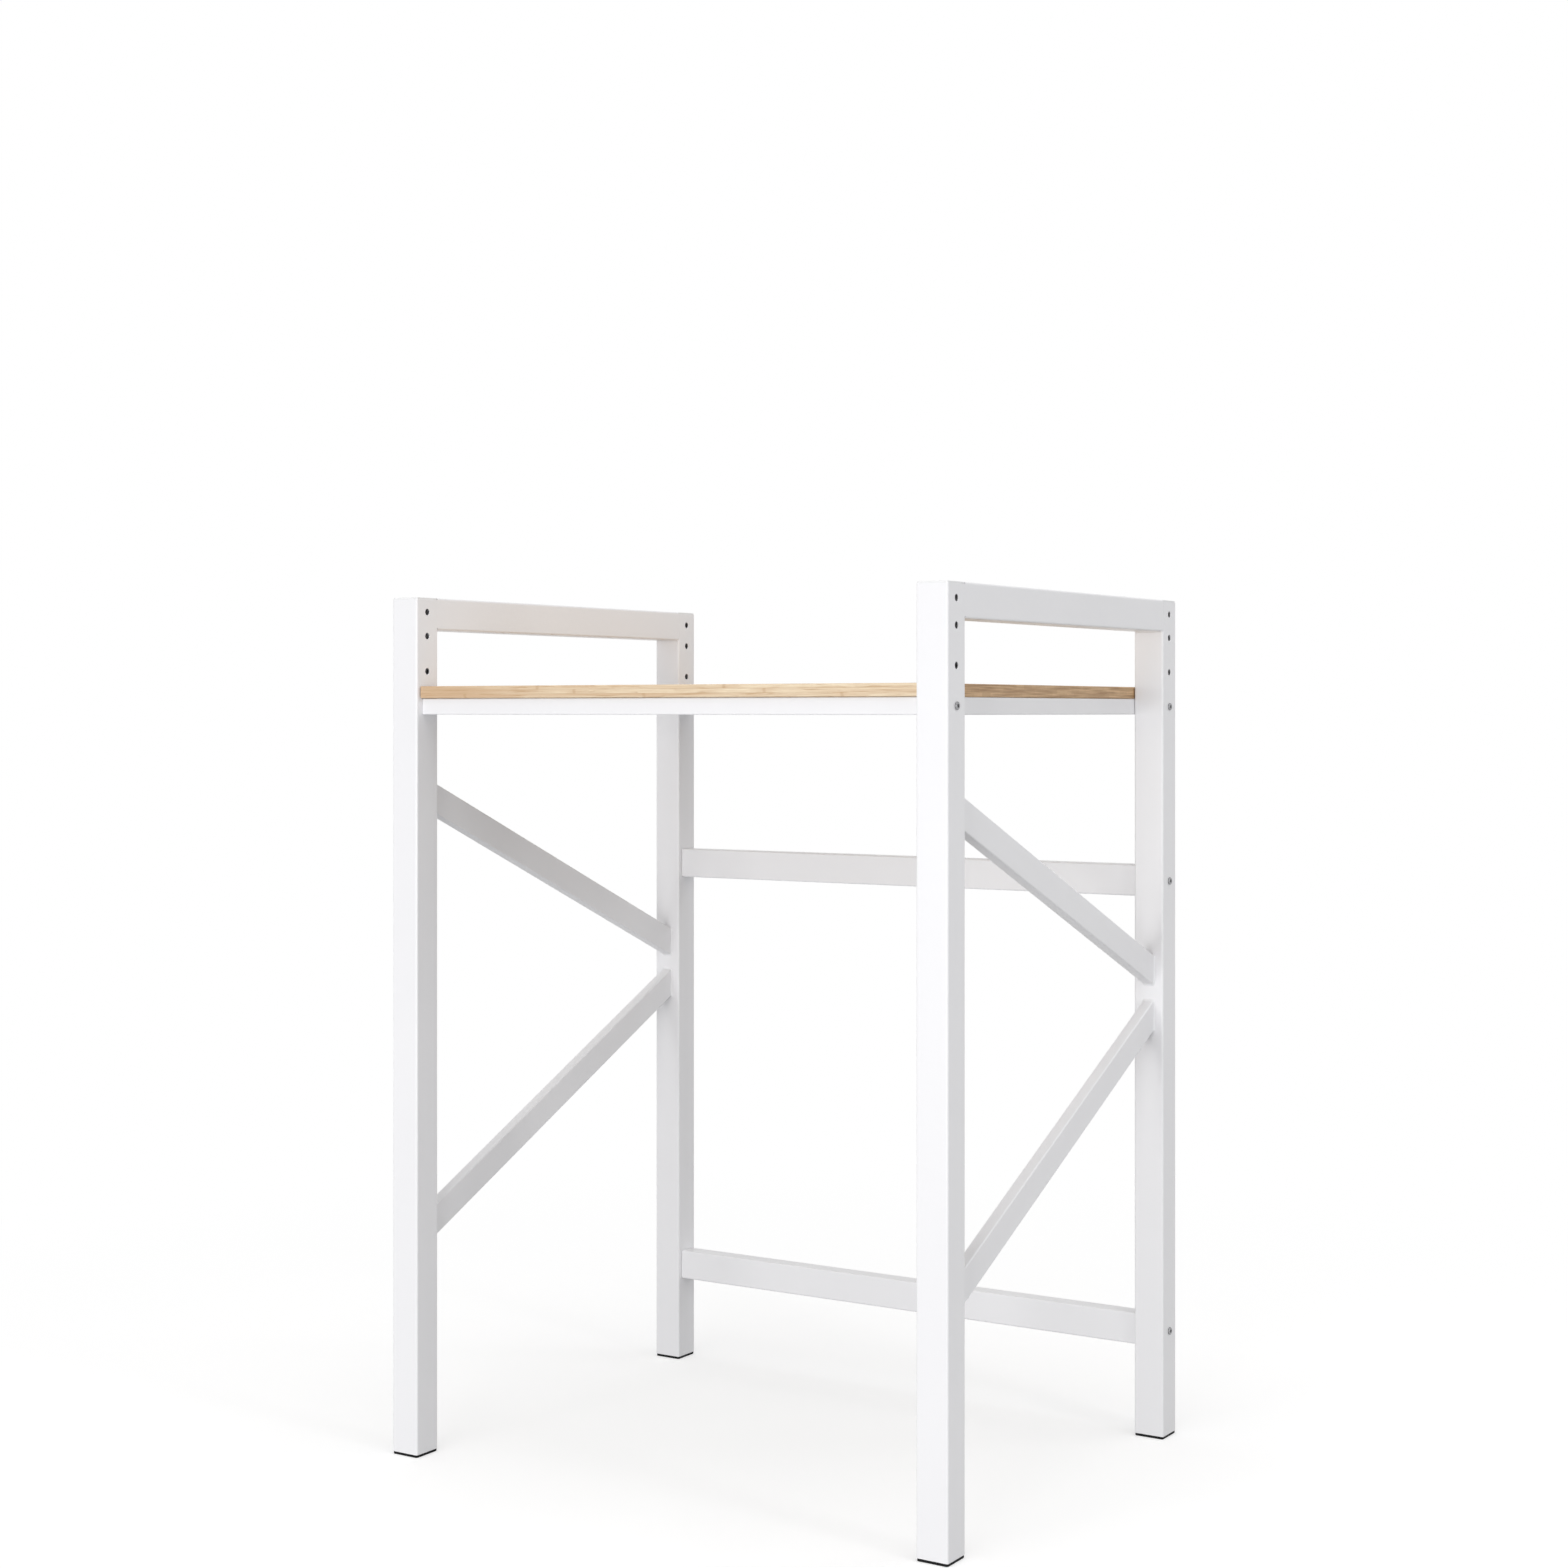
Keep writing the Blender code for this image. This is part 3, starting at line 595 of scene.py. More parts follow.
def plated(name, dark, pale, crystal, roughness):
    """A metal whose crystals, of the given size, differ in tone, under a patchy film."""
    material, tree, shader, metres = start_finish(name, {"Metallic": 1.0})
    flake = wire(tree, "TexVoronoi", {"Vector": metres, "Scale": 1 / crystal}).outputs["Color"]
    tone = wire(tree, "SeparateColor", {0: flake}).outputs["Red"]
    film = grain(tree, metres, crystal * FILM_CRYSTALS, detail=4, roughness=0.6)
    patches = spread(tree, film, *FILM_TONES)
    share = maths(tree, "MULTIPLY_ADD", tone, CRYSTAL_SHARE, patches)
    feed(tree, shader, "Base Color", between(tree, share, dark, pale))
    feed(tree, shader, "Roughness", spread(tree, film, *roughness, *NOISE_RANGE))
    emboss(tree, shader, (film, FILM_DEPTH))
    return material


DARK_STEEL = plated(
    "dark_steel",
    dark=(0.23, 0.23, 0.24, 1),
    pale=(0.42, 0.42, 0.43, 1),
    crystal=0.0005,
    roughness=(0.30, 0.48),
)
ZINC_STEEL = plated(
    "zinc_steel",
    dark=(0.50, 0.51, 0.53, 1),
    pale=(0.72, 0.73, 0.75, 1),
    crystal=0.0012,
    roughness=(0.22, 0.38),
)
print("A plated steel takes", len(DARK_STEEL.node_tree.nodes), "nodes")

# %% [markdown]
# ## From a shape to a piece
# A piece of the stand is a mesh with a finish that rides on the frame and stands for
# the construction nodes that it dresses. Its flat faces must stay flat in the light,
# while its rounded corners shade smoothly. Smooth shading alone would bend the light
# on the flats next to a corner, so a Weighted Normal modifier lets the biggest face
# at each point decide.

# %% Turn a shape into a piece
SMOOTH_ANGLE = math.radians(35)


def place_of(node):
    """A construction node's lowest and highest corners, and its middle."""
    low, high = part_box(node)
    return low, high, (low + high) / 2


def middle_of(node):
    return place_of(node)[2]


def show(name, shape, material):
    """An object in the scene that shows the shape."""
    mesh = bpy.data.meshes.new(name)
    bmesh.ops.recalc_face_normals(shape, faces=shape.faces)
    shape.to_mesh(mesh)
    shape.free()
    mesh.materials.append(material)
    piece = bpy.data.objects.new(name, mesh)
    bpy.context.scene.collection.objects.link(piece)
    return piece


def dress(piece, slot, *nodes):
    """Shades the piece, fixes it to the frame and lets it stand for construction nodes."""
    piece.data.shade_smooth()
    piece.data.set_sharp_from_angle(angle=SMOOTH_ANGLE)
    flats = piece.modifiers.new("flat_faces", "WEIGHTED_NORMAL")
    flats.keep_sharp = True
    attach(piece, "root")
    if nodes:
        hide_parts(*nodes)
    print(f"{piece.name}: {len(piece.data.polygons)} faces")


print(f"Edges sharper than {math.degrees(SMOOTH_ANGLE):.0f} degrees stay sharp")

# %% [markdown]
# ## Cutting holes
# A Boolean modifier subtracts a drill from a piece. Its edges come out razor sharp,
# which real ones never are, least of all under powder coat, so a Bevel modifier that
# only takes sharp edges rounds them over. Both are applied at once and the drill is
# thrown away, so no helper objects are left in the file.

# %% Drill and round over
HOLE_SIDES = 32
SHARP_ANGLE = math.radians(50)


def settle(piece):
    """Applies the piece's modifiers to its mesh, and removes the cutters that they used."""
    bpy.context.view_layer.update()
    graph = bpy.context.evaluated_depsgraph_get()
    mesh = bpy.data.meshes.new_from_object(piece.evaluated_get(graph))
    cutters = [item.object for item in piece.modifiers if item.type == "BOOLEAN"]
    piece.modifiers.clear()
    old = piece.data
    piece.data = mesh
    bpy.data.meshes.remove(old)
    for cutter in cutters:
        bpy.data.objects.remove(cutter, do_unlink=True)


def cut(piece, cutter_shape):
    """Takes a closed shape out of the piece."""
    taken = piece.modifiers.new("cut", "BOOLEAN")
    taken.operation = "DIFFERENCE"
    taken.solver = "EXACT"
    taken.object = show(piece.name + "_cutter", cutter_shape, WHITE_COAT)


def round_over(piece, width, segments=3):
    """Rounds the piece's sharp edges."""
    softened = piece.modifiers.new("round_over", "BEVEL")
    softened.limit_method = "ANGLE"
    softened.angle_limit = SHARP_ANGLE
    softened.width = width
    softened.segments = segments


def drills(places, way, diameter, length, sides=HOLE_SIDES):
    """Closed rods through the places, along a direction, as one shape."""
    shape = bmesh.new()
    turn = way.to_track_quat("Z", "Y").to_matrix().to_4x4()
    for place in places:
        bmesh.ops.create_cone(
            shape,
            cap_ends=True,
            segments=sides,
            radius1=diameter / 2,
            radius2=diameter / 2,
            depth=length,
            matrix=Matrix.Translation(place) @ turn,
        )
    return shape


print(f"A drilled hole has {HOLE_SIDES} sides")

# %% [markdown]
# ## Tube
# Square tube is rolled from strip and drawn through a die, which leaves its corners
# rounded. It could be a block with a Bevel modifier and a Solidify modifier, or a
# curve with a bevel profile. Here each tube is a loft: the rounded outline stands at
# both ends, once for the outside and once for the bore, and quads join the four
# outlines into one closed ring.

# %% Draw outlines and join them
CORNER_STEPS = 7


def rounded_outline(width, height, radius):
    """Points anticlockwise round a rectangle with rounded corners."""
    points = []
    for quarter in range(4):
        side_x = 1 if quarter in (0, 3) else -1
        side_y = 1 if quarter in (0, 1) else -1
        for step in range(CORNER_STEPS + 1):
            angle = math.pi / 2 * (quarter + step / CORNER_STEPS)
            x = side_x * (width / 2 - radius) + radius * math.cos(angle)
            y = side_y * (height / 2 - radius) + radius * math.sin(angle)
            points.append((x, y))
    return points


def quarter_turn(steps):
    """The sines and cosines of the angles of a quarter turn, in even steps."""
    turns = [math.pi / 2 * step / steps for step in range(steps + 1)]
    return [(math.sin(turn), math.cos(turn)) for turn in turns]


def join_rings(shape, rings, closed):
    """Quads from each ring of points to the next, and lids or a last band of quads."""
    rows = [[shape.verts.new(point) for point in ring] for ring in rings]
    pairs = list(zip(rows, rows[1:] + rows[:1] if closed else rows[1:]))
    for lower, upper in pairs:
        for index in range(len(lower)):
            after = (index + 1) % len(lower)
            shape.faces.new((lower[index], lower[after], upper[after], upper[index]))
    if not closed:
        shape.faces.new(list(reversed(rows[0])))
        shape.faces.new(rows[-1])
    return shape


print("An outline has", 4 * (CORNER_STEPS + 1), "points")

# %% [markdown]
# ### Sawing a tube to length
# Most tubes are sawn square, and the braces on a slant. A slanted end could be cut with
# a Boolean. In a loft it costs nothing, because the outline's points slide along the
# tube until they lie on the cutting plane, which is where a saw would leave them.

# %% Loft a tube
AXES = (Vector((1, 0, 0)), Vector((0, 1, 0)), Vector((0, 0, 1)))
RIGHTWARD, REARWARD, UPWARD = AXES
LEAST_BORE_CORNER_SHARE = 0.25  # of the wall


def end_ring(outline, end, way, across, cut_way):
    """The outline's points round a tube's end, slid along the tube to the end's plane."""
    up = way.cross(across)
    ring = []
    for x, y in outline:
        offset = x * across + y * up
        ring.append(end + offset - way * (offset.dot(cut_way) / way.dot(cut_way)))
    return ring


def tube(start, end, size, wall, corner, across=RIGHTWARD, cut_way=None):
    """A rounded rectangular tube between the middles of its ends. Its size is given
    first across, along the given direction, and then square to that."""
    way = (end - start).normalized()
    cut_way = cut_way or way
    outside = rounded_outline(*size, corner)
    bore_corner = max(corner - wall, wall * LEAST_BORE_CORNER_SHARE)
    bore = rounded_outline(size[0] - 2 * wall, size[1] - 2 * wall, bore_corner)
    rings = [
        end_ring(outline, place, way, across, cut_way)
        for outline, place in ((outside, start), (outside, end), (bore, end), (bore, start))
    ]
    return join_rings(bmesh.new(), rings, closed=True)


print("A tube is a loft of 4 outlines")

# %% [markdown]
# ## The four posts
# Each post is 40 mm square tube with a 1.5 mm wall. It is drilled from side to side
# for the shelf's bolts, at four heights, so that the shelf can be set higher or lower,
# and the rear ones also for the back rails. The holes' places are read from the
# construction model: the spare ones from its list of openings, the others from the
# bolts that stand in them. Under the coat the holes' edges are soft, and that rim
# catches the light.

# %% Drill the posts
SIDES = ("left", "right")
ENDS = {"front": -1, "rear": 1}  # and which way each lies along Y
CORNERS = [f"{end}_{side}" for end in ENDS for side in SIDES]
LEVELS = ("upper", "lower")
POST_WALL = 0.0015
POST_CORNER = 0.0025
HOLE_DIAMETER = 0.0080
COATED_EDGE = 0.0005
DRILL_SPARE = 0.01  # by which a drill stands out of the tube on each side


def hole_places(where):
    """The middles of all the holes through one post, such as front_left."""
    places = []
    for opening in frame["record"]["physics"]["openings"]:
        if opening["name"].startswith("spare_hole_" + where):
            low, high = opening["box_m"]
            places.append((Vector(low) + Vector(high)) / 2)
    end, side = where.split("_")
    bolts = ["shelf_bolt_" + where]
    if end == "rear":
        bolts += [f"rail_bolt_{level}_{side}" for level in LEVELS]
    post_x = middle_of("post_" + where).x
    for bolt in bolts:
        spot = middle_of(bolt)
        places.append(Vector((post_x, spot.y, spot.z)))
    return places


def coated_post(where):
    node = "post_" + where
    low, high, middle = place_of(node)
    start = Vector((*middle.xy, low.z))
    end = Vector((*middle.xy, high.z))
    size = (high.x - low.x, high.y - low.y)
    piece = show("steel_" + node, tube(start, end, size, POST_WALL, POST_CORNER), WHITE_COAT)
    through = size[0] + 2 * DRILL_SPARE
    cut(piece, drills(hole_places(where), RIGHTWARD, HOLE_DIAMETER, through))
    round_over(piece, COATED_EDGE)
    settle(piece)
    dress(piece, "white_powder_coat", node)


for where in CORNERS:
    coated_post(where)

# %% [markdown]
# ## Rails
# The straight rails are plain lengths of the same kind of tube: the top rails between
# the posts' tops, the two flat rails across the back, and the 20 mm frame under the
# board. Each could be given its own two ends and its own size. Instead it is lofted
# inside the box of its construction node, along the box's longest side, so one function
# makes them all.

# %% Cut the straight rails
BACK_RAIL_CORNER = 0.0020
SHELF_CORNER = 0.0015


def straight_tube(node, corner):
    """A level tube that fills its node's box, along the box's longest side."""
    low, high, middle = place_of(node)
    size = high - low
    long_axis = 0 if size.x > size.y else 1
    reach = AXES[long_axis] * size[long_axis] / 2
    section = (size[1 - long_axis], high.z - low.z)
    across = AXES[1 - long_axis]
    return tube(middle - reach, middle + reach, section, POST_WALL, corner, across)


def coated_rail(node, corner):
    piece = show("steel_" + node, straight_tube(node, corner), WHITE_COAT)
    dress(piece, "white_powder_coat", node)


for side_name in SIDES:
    coated_rail("top_rail_" + side_name, POST_CORNER)
for level in LEVELS:
    coated_rail("back_rail_" + level, BACK_RAIL_CORNER)
for where in (*ENDS, *SIDES):
    coated_rail("shelf_rail_" + where, SHELF_CORNER)

# %% [markdown]
# ## The cross bars
# Two bars run under the board from front to rear. Each has three small holes on top
# for the board's screws, and a wide one straight below each, so that a screwdriver
# reaches the screw's head inside the tube.

# %% Drill the cross bars
SCREW_HOLE = 0.005
ACCESS_HOLE = 0.011
BAR_EDGE = 0.00025
SCREW_NODES = [f"board_screw_{number}" for number in range(1, 7)]


def coated_bar(node):
    low, high, middle = place_of(node)
    piece = show("steel_" + node, straight_tube(node, SHELF_CORNER), WHITE_COAT)
    screws = [middle_of(screw) for screw in SCREW_NODES]
    rows = [screw.y for screw in screws if low.x < screw.x < high.x]
    for diameter, face in ((SCREW_HOLE, high.z), (ACCESS_HOLE, low.z)):
        spots = [Vector((middle.x, row, face)) for row in rows]
        cut(piece, drills(spots, UPWARD, diameter, (high - low).z))
    round_over(piece, BAR_EDGE)
    settle(piece)
    dress(piece, "white_powder_coat", node)


for side_name in SIDES:
    coated_bar("shelf_bar_" + side_name)

# %% [markdown]
# ## The K braces
# In each side frame two flat tubes run from the front post to the middle of the rear
# post, where 20 mm of bare post are left between them. Their ends are sawn upright,
# flush with the posts. Where an end's middle is can't be read from the brace's box, so
# it is measured on the construction node's own corners, those that lie in the plane of
# that end.

# %% Cut the braces
BRACE_CORNER = 0.0020
TOUCH = 0.0002  # a corner nearer than this to a plane lies in it


def end_middle(node, end):
    """The middle of a brace's end, and its height, from the node's corners in that plane."""
    low, high, middle = place_of(node)
    plane = low.y if end < 0 else high.y
    corners = [corner.co for corner in frame["nodes"][node].data.vertices]
    heights = [corner.z for corner in corners if abs(corner.y - plane) < TOUCH]
    bottom, top = min(heights), max(heights)
    return Vector((middle.x, plane, (bottom + top) / 2)), top - bottom


def brace_line(node):
    """A brace's two ends, and its size across and up, square to its length."""
    start, tall = end_middle(node, ENDS["front"])
    end, tall = end_middle(node, ENDS["rear"])
    low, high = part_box(node)
    return start, end, (high.x - low.x, tall * abs((end - start).normalized().y))


def coated_brace(node):
    start, end, size = brace_line(node)
    shape = tube(start, end, size, POST_WALL, BRACE_CORNER, cut_way=REARWARD)
    dress(show("steel_" + node, shape, WHITE_COAT), "white_powder_coat", node)


for level in LEVELS:
    for side_name in SIDES:
        coated_brace(f"brace_{level}_{side_name}")

# %% [markdown]
# ## Weld beads
# The side frames and the shelf's frame are welded. Each brace end is welded all round,
# and each top rail along its underside. A bead is a small fillet: the molten wire
# fills the corner, slightly fuller than a straight line from toe to toe. The torch
# moves on in small steps, and each step leaves a ripple. The beads could be drawn in a
# bump texture, but then their outline would stay sharp. So they are shapes: a section,
# and evenly spaced places along the corner where it will stand.

# %% Draw a bead's section and its places
BEAD_LEG = 0.0013
BEAD_ROOT = 0.0002  # how far a bead reaches into the tubes that it joins
BEAD_FULLNESS = 0.12  # of its leg
BEAD_STEPS = 5
RIPPLE_LENGTH = 0.0016
RIPPLE_RISE = 0.10
RIPPLE_RINGS = 5
PACE = RIPPLE_LENGTH / RIPPLE_RINGS  # from one ring of a bead to the next


def bead_section():
    """Points of (out, along) round a fillet."""
    points = [(-BEAD_ROOT, BEAD_LEG), (-BEAD_ROOT, -BEAD_ROOT), (BEAD_LEG, -BEAD_ROOT)]
    for step in range(BEAD_STEPS + 1):
        share = step / BEAD_STEPS
        full = BEAD_FULLNESS * BEAD_LEG * math.sin(math.pi * share)
        points.append((BEAD_LEG * (1 - share) + full, BEAD_LEG * share + full))
    return points


def paced(points):
    """Evenly spaced points along a chain of points, its ends included."""
    lengths = [(after - before).length for before, after in zip(points, points[1:])]
    count = max(2, round(sum(lengths) / PACE))
    spots = []
    link = 0
    passed = 0.0
    for number in range(count + 1):
        goal = sum(lengths) * number / count
        while link < len(lengths) - 1 and passed + lengths[link] < goal:
            passed += lengths[link]
            link += 1
        spots.append(points[link].lerp(points[link + 1], (goal - passed) / lengths[link]))
    return spots


print(f"A bead has {len(bead_section())} points round and a ring every {PACE * 1000:.2f} mm")

# %% [markdown]
# ### Laying a bead
# The section is swept along its corner and swells at every ripple. It is drawn in two
# directions: out over the face that it lies on, and along the tube that it joins. At a
# slanted brace these two are not square to each other, and the section leans with them.

# %% Sweep a bead along a corner
def lay_bead(shape, path, outs, along, closed=False):
    """Sweeps the section over the path's points, each with its own outward direction."""
    rings = []
    for number, (spot, out) in enumerate(zip(path, outs)):
        ripple = abs(math.sin(math.pi * number * PACE / RIPPLE_LENGTH))
        swell = 1 + RIPPLE_RISE * ripple
        rings.append([spot + (out * a + along * b) * swell for a, b in bead_section()])
    join_rings(shape, rings, closed)


def straight_bead(shape, start, end, out, along):
    path = paced([start, end])
    lay_bead(shape, path, [out] * len(path), along)


def brace_bead(shape, node, end, face_y):
    """A bead all round the end of a brace, on the face of its post."""
    start, stop, size = brace_line(node)
    way = (stop - start).normalized()
    middle = start + way * ((face_y - start.y) / way.y)
    ring = end_ring(rounded_outline(*size, BRACE_CORNER), middle, way, RIGHTWARD, REARWARD)
    path = paced(ring + ring[:1])[:-1]
    outs = []
    for index, spot in enumerate(path):
        run = path[(index + 1) % len(path)] - path[index - 1]
        out = run.cross(REARWARD).normalized()
        outs.append(out if out.dot(spot - middle) > 0 else -out)
    lay_bead(shape, path, outs, way * -end, closed=True)


print(f"A ripple swells a bead by {RIPPLE_RISE * BEAD_LEG * 1000:.2f} mm")

# %% [markdown]
# ## Ground seams
# Where a top rail meets a post, their outer faces lie in one plane. The post's rounded
# corner leaves a groove beside the rail's square end. It is filled with weld and ground
# down. At the front only a faint swelling shows through the coat. At the rear a little
# too much was ground off, and a faint line is left. A texture can't fill a groove, so
# each seam is a short bar, with the groove's own outline on its inner side.

# %% Fill a groove
SEAM_RISES = {"front": 0.00004, "rear": -0.00025}  # of a seam's middle, above the faces
SEAM_SINK = 0.00002  # how far a seam's edges lie below the faces
SEAM_FEATHER = 0.0008  # how far it reaches past the groove on each side
SEAM_DEPTH = 0.0006  # how deep its two edges go
SEAM_STEPS = 8


def seam_section(corner, middle_rise):
    """Points of (out, along) round the weld in the groove that a rounded corner leaves."""
    points = []
    for step in range(SEAM_STEPS + 1):
        share = step / SEAM_STEPS
        rise = (SEAM_SINK + middle_rise) * math.sin(math.pi * share) - SEAM_SINK
        points.append((rise, SEAM_FEATHER - share * (corner + 2 * SEAM_FEATHER)))
    points.append((-SEAM_DEPTH, -corner - SEAM_FEATHER))
    inner = corner - BEAD_ROOT
    for sine, cosine in quarter_turn(CORNER_STEPS):
        points.append((inner * cosine - corner, inner * sine - corner))
    points.append((-SEAM_DEPTH, SEAM_FEATHER))
    return points


def ground_seam(shape, ends, out, along, corner, middle_rise=SEAM_RISES["front"]):
    """Fills the groove between its two ends."""
    section = seam_section(corner, middle_rise)
    rings = [[spot + out * a + along * b for a, b in section] for spot in ends]
    join_rings(shape, rings, closed=False)


print("A seam has", len(seam_section(POST_CORNER, 0.0)), "points round")

# %% [markdown]
# ### The side frames' welds
# One bead runs under each end of a top rail and one round each end of a brace. On each
# side of a top rail's end stands a seam. All the welds of a frame are one mesh, because
# they are one run of the same work and no part of them ever comes apart.

# %% Weld the side frames
def frame_welds(side_name):
    shape = bmesh.new()
    rail_low, rail_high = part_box("top_rail_" + side_name)
    for end_name, end in ENDS.items():
        low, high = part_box(f"post_{end_name}_{side_name}")
        face_y = high.y if end < 0 else low.y
        along = REARWARD * -end
        limits = (low.x + POST_CORNER, high.x - POST_CORNER)
        under = [Vector((x, face_y, rail_low.z)) for x in limits]
        straight_bead(shape, *under, -UPWARD, along)
        for face_x, out in ((low.x, -RIGHTWARD), (high.x, RIGHTWARD)):
            heights = (rail_low.z + POST_CORNER, high.z)
            seam = [Vector((face_x, face_y, z)) for z in heights]
            ground_seam(shape, seam, out, along, POST_CORNER, SEAM_RISES[end_name])
        for level in LEVELS:
            brace_bead(shape, f"brace_{level}_{side_name}", end, face_y)
    dress(show("frame_welds_" + side_name, shape, WHITE_COAT), "white_powder_coat")


for side_name in SIDES:
    frame_welds(side_name)

# %% [markdown]
# ### The shelf frame's welds
# The side rails and the cross bars stand between the front and the rear rail. They are
# welded in their upright corners and ground flush underneath. On top they are left
# bare, so that the board lies flat, and the side rails' outer faces stand too close to
# the posts for a bead.

# %% Weld the shelf's frame
CROSSING_NODES = [f"shelf_{kind}_{side}" for kind in ("rail", "bar") for side in SIDES]


def shelf_welds():
    shape = bmesh.new()
    for end_name, end in ENDS.items():
        rail_low, rail_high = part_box("shelf_rail_" + end_name)
        face_y = rail_high.y if end < 0 else rail_low.y
        along = REARWARD * -end
        for node in CROSSING_NODES:
            low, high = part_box(node)
            heights = (low.z + SHELF_CORNER, high.z - SHELF_CORNER)
            for face_x, out in ((low.x, -RIGHTWARD), (high.x, RIGHTWARD)):
                if rail_low.x + BEAD_LEG < face_x < rail_high.x - BEAD_LEG:
                    upright = [Vector((face_x, face_y, z)) for z in heights]
                    straight_bead(shape, *upright, out, along)
            limits = (low.x + SHELF_CORNER, high.x - SHELF_CORNER)
            under = [Vector((x, face_y, low.z)) for x in limits]
            ground_seam(shape, under, -UPWARD, along, SHELF_CORNER)
    dress(show("shelf_welds", shape, WHITE_COAT), "white_powder_coat")


shelf_welds()

# %% [markdown]
# ## Feet and caps
# Both are tube plugs, moulded in one shot: a flange that covers the tube's end, and a
# hollow stem with two fins all round that grip the tube's inside. Such a plug could be
# built from blocks and Booleans. But all its outlines are squares with the same kind of
# corners, so it is drawn as on a lathe that turns squares: a list of sides and heights,
# from the middle of the flange's face, round its rim, up the stem, over the fins and
# down into the hollow. Fins taper to their tips, or they would tear in the mould.

# %% Draw a plug's profile
FLANGE_INSET = 0.0005  # from the post's faces, all round
FLANGE_RIM = 0.0007
RIM_STEPS = 4
SEAT_BREAK = FLANGE_RIM / 6  # the flange's edge towards the tube is broken by this
SEAT_REACH = 0.00025  # the construction model leaves a gap here, which the flange closes
PLUG_WALL = 0.002
FIN_ROOT = 0.0015
FIN_TIP = 0.0009
FIN_CLEARANCE = 0.0005
FIN_STANDOUT = 0.003
FIN_SHARES = (0.30, 0.75)  # of the stem's length


def plug_profile(side, flange, tall):
    """The side of the square at each height, from the face of the flange."""
    profile = []
    for sine, cosine in quarter_turn(RIM_STEPS):
        inset = FLANGE_RIM * (1 - sine)
        profile.append((side - 2 * inset, FLANGE_RIM * (1 - cosine)))
    bore = side + 2 * FLANGE_INSET - 2 * POST_WALL
    fin_side = bore - 2 * FIN_CLEARANCE
    stem_side = fin_side - 2 * FIN_STANDOUT
    seat = flange + SEAT_REACH
    profile += [(side, seat - SEAT_BREAK), (side - 2 * SEAT_BREAK, seat), (stem_side, seat)]
    for share in FIN_SHARES:
        middle = flange + (tall - flange) * share
        profile += [(stem_side, middle - FIN_ROOT / 2), (fin_side, middle - FIN_TIP / 2)]
        profile += [(fin_side, middle + FIN_TIP / 2), (stem_side, middle + FIN_ROOT / 2)]
    core_side = stem_side - 2 * PLUG_WALL
    return profile + [(stem_side, tall), (core_side, tall), (core_side, flange)]


print(f"A plug's {len(FIN_SHARES)} fins stand out by {FIN_STANDOUT * 1000:.0f} mm")

# %% [markdown]
# ### Two kinds of plug
# The four feet are black and have a thick flange to stand on. The four caps are white,
# like the posts that they close, and thinner. A foot's profile rises from its face and
# a cap's hangs down from it, which is the only other difference.

# %% Mould the plugs
FOOT_FLANGE = 0.003
CAP_FLANGE = 0.002


def plug(node, flange, up, material, slot):
    low, high, middle = place_of(node)
    face = Vector((*middle.xy, low.z if up > 0 else high.z))
    rings = []
    for side, height in plug_profile(high.x - low.x, flange, high.z - low.z):
        outline = rounded_outline(side, side, POST_CORNER)
        rings.append([face + Vector((x, y, up * height)) for x, y in outline])
    shape = join_rings(bmesh.new(), rings, closed=False)
    dress(show("moulded_" + node, shape, material), slot, node)


for where in CORNERS:
    plug("foot_" + where, FOOT_FLANGE, 1, BLACK_PLASTIC, "black_plastic")
    plug("cap_" + where, CAP_FLANGE, -1, WHITE_PLASTIC, "white_plastic")

# %% [markdown]
# ## The board
# The board is one solid slab, cut to size after gluing. Its edges are eased with
# sandpaper, by 1 mm, which makes them read as a thin light line. From below six pilot
# holes keep the screws from splitting it. The easing comes first and the holes after
# it, so that the Bevel modifier leaves the holes' edges crisp, as a drill does.

# %% Ease and drill the board
BOARD_EDGE = 0.001
PILOT_DIAMETER = 0.0046
PILOT_SPARE = 0.0003  # between a screw's point and the end of its pilot hole


def block(low, high):
    """A closed box between two corners."""
    shape = bmesh.new()
    bmesh.ops.create_cube(shape, size=1)
    bmesh.ops.scale(shape, vec=high - low, verts=shape.verts)
    bmesh.ops.translate(shape, vec=(low + high) / 2, verts=shape.verts)
    return shape


def bamboo_board():
    piece = show("bamboo_board", block(BOARD_LOW, BOARD_HIGH), BAMBOO)
    round_over(piece, BOARD_EDGE, segments=4)
    screw_low, screw_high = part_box(SCREW_NODES[0])
    top = screw_high.z + PILOT_SPARE
    spots = [Vector((*middle_of(node).xy, BOARD_LOW.z)) for node in SCREW_NODES]
    cut(piece, drills(spots, UPWARD, PILOT_DIAMETER, 2 * (top - BOARD_LOW.z)))
    settle(piece)
    dress(piece, "bamboo", "shelf_board")


bamboo_board()

# %% [markdown]
# ## Threaded fasteners
# A thread could be a Screw modifier on a small triangle, but such a coil never joins
# the shank cleanly. Here a fastener is one skin of rings, turned round its axis, and
# the thread is in the radius: at each point the radius swings between crest and root,
# one swing for each pitch down the shank, and the swing's start turns with the angle.
# That makes a true helix, which can fade out towards the plain shank and narrow to
# the tip.

# %% Turn a fastener
THREAD_SIDES = 28
THREAD_SAMPLES = 8  # rings to each turn of the thread
CREST_FLAT = 0.15  # of half a pitch


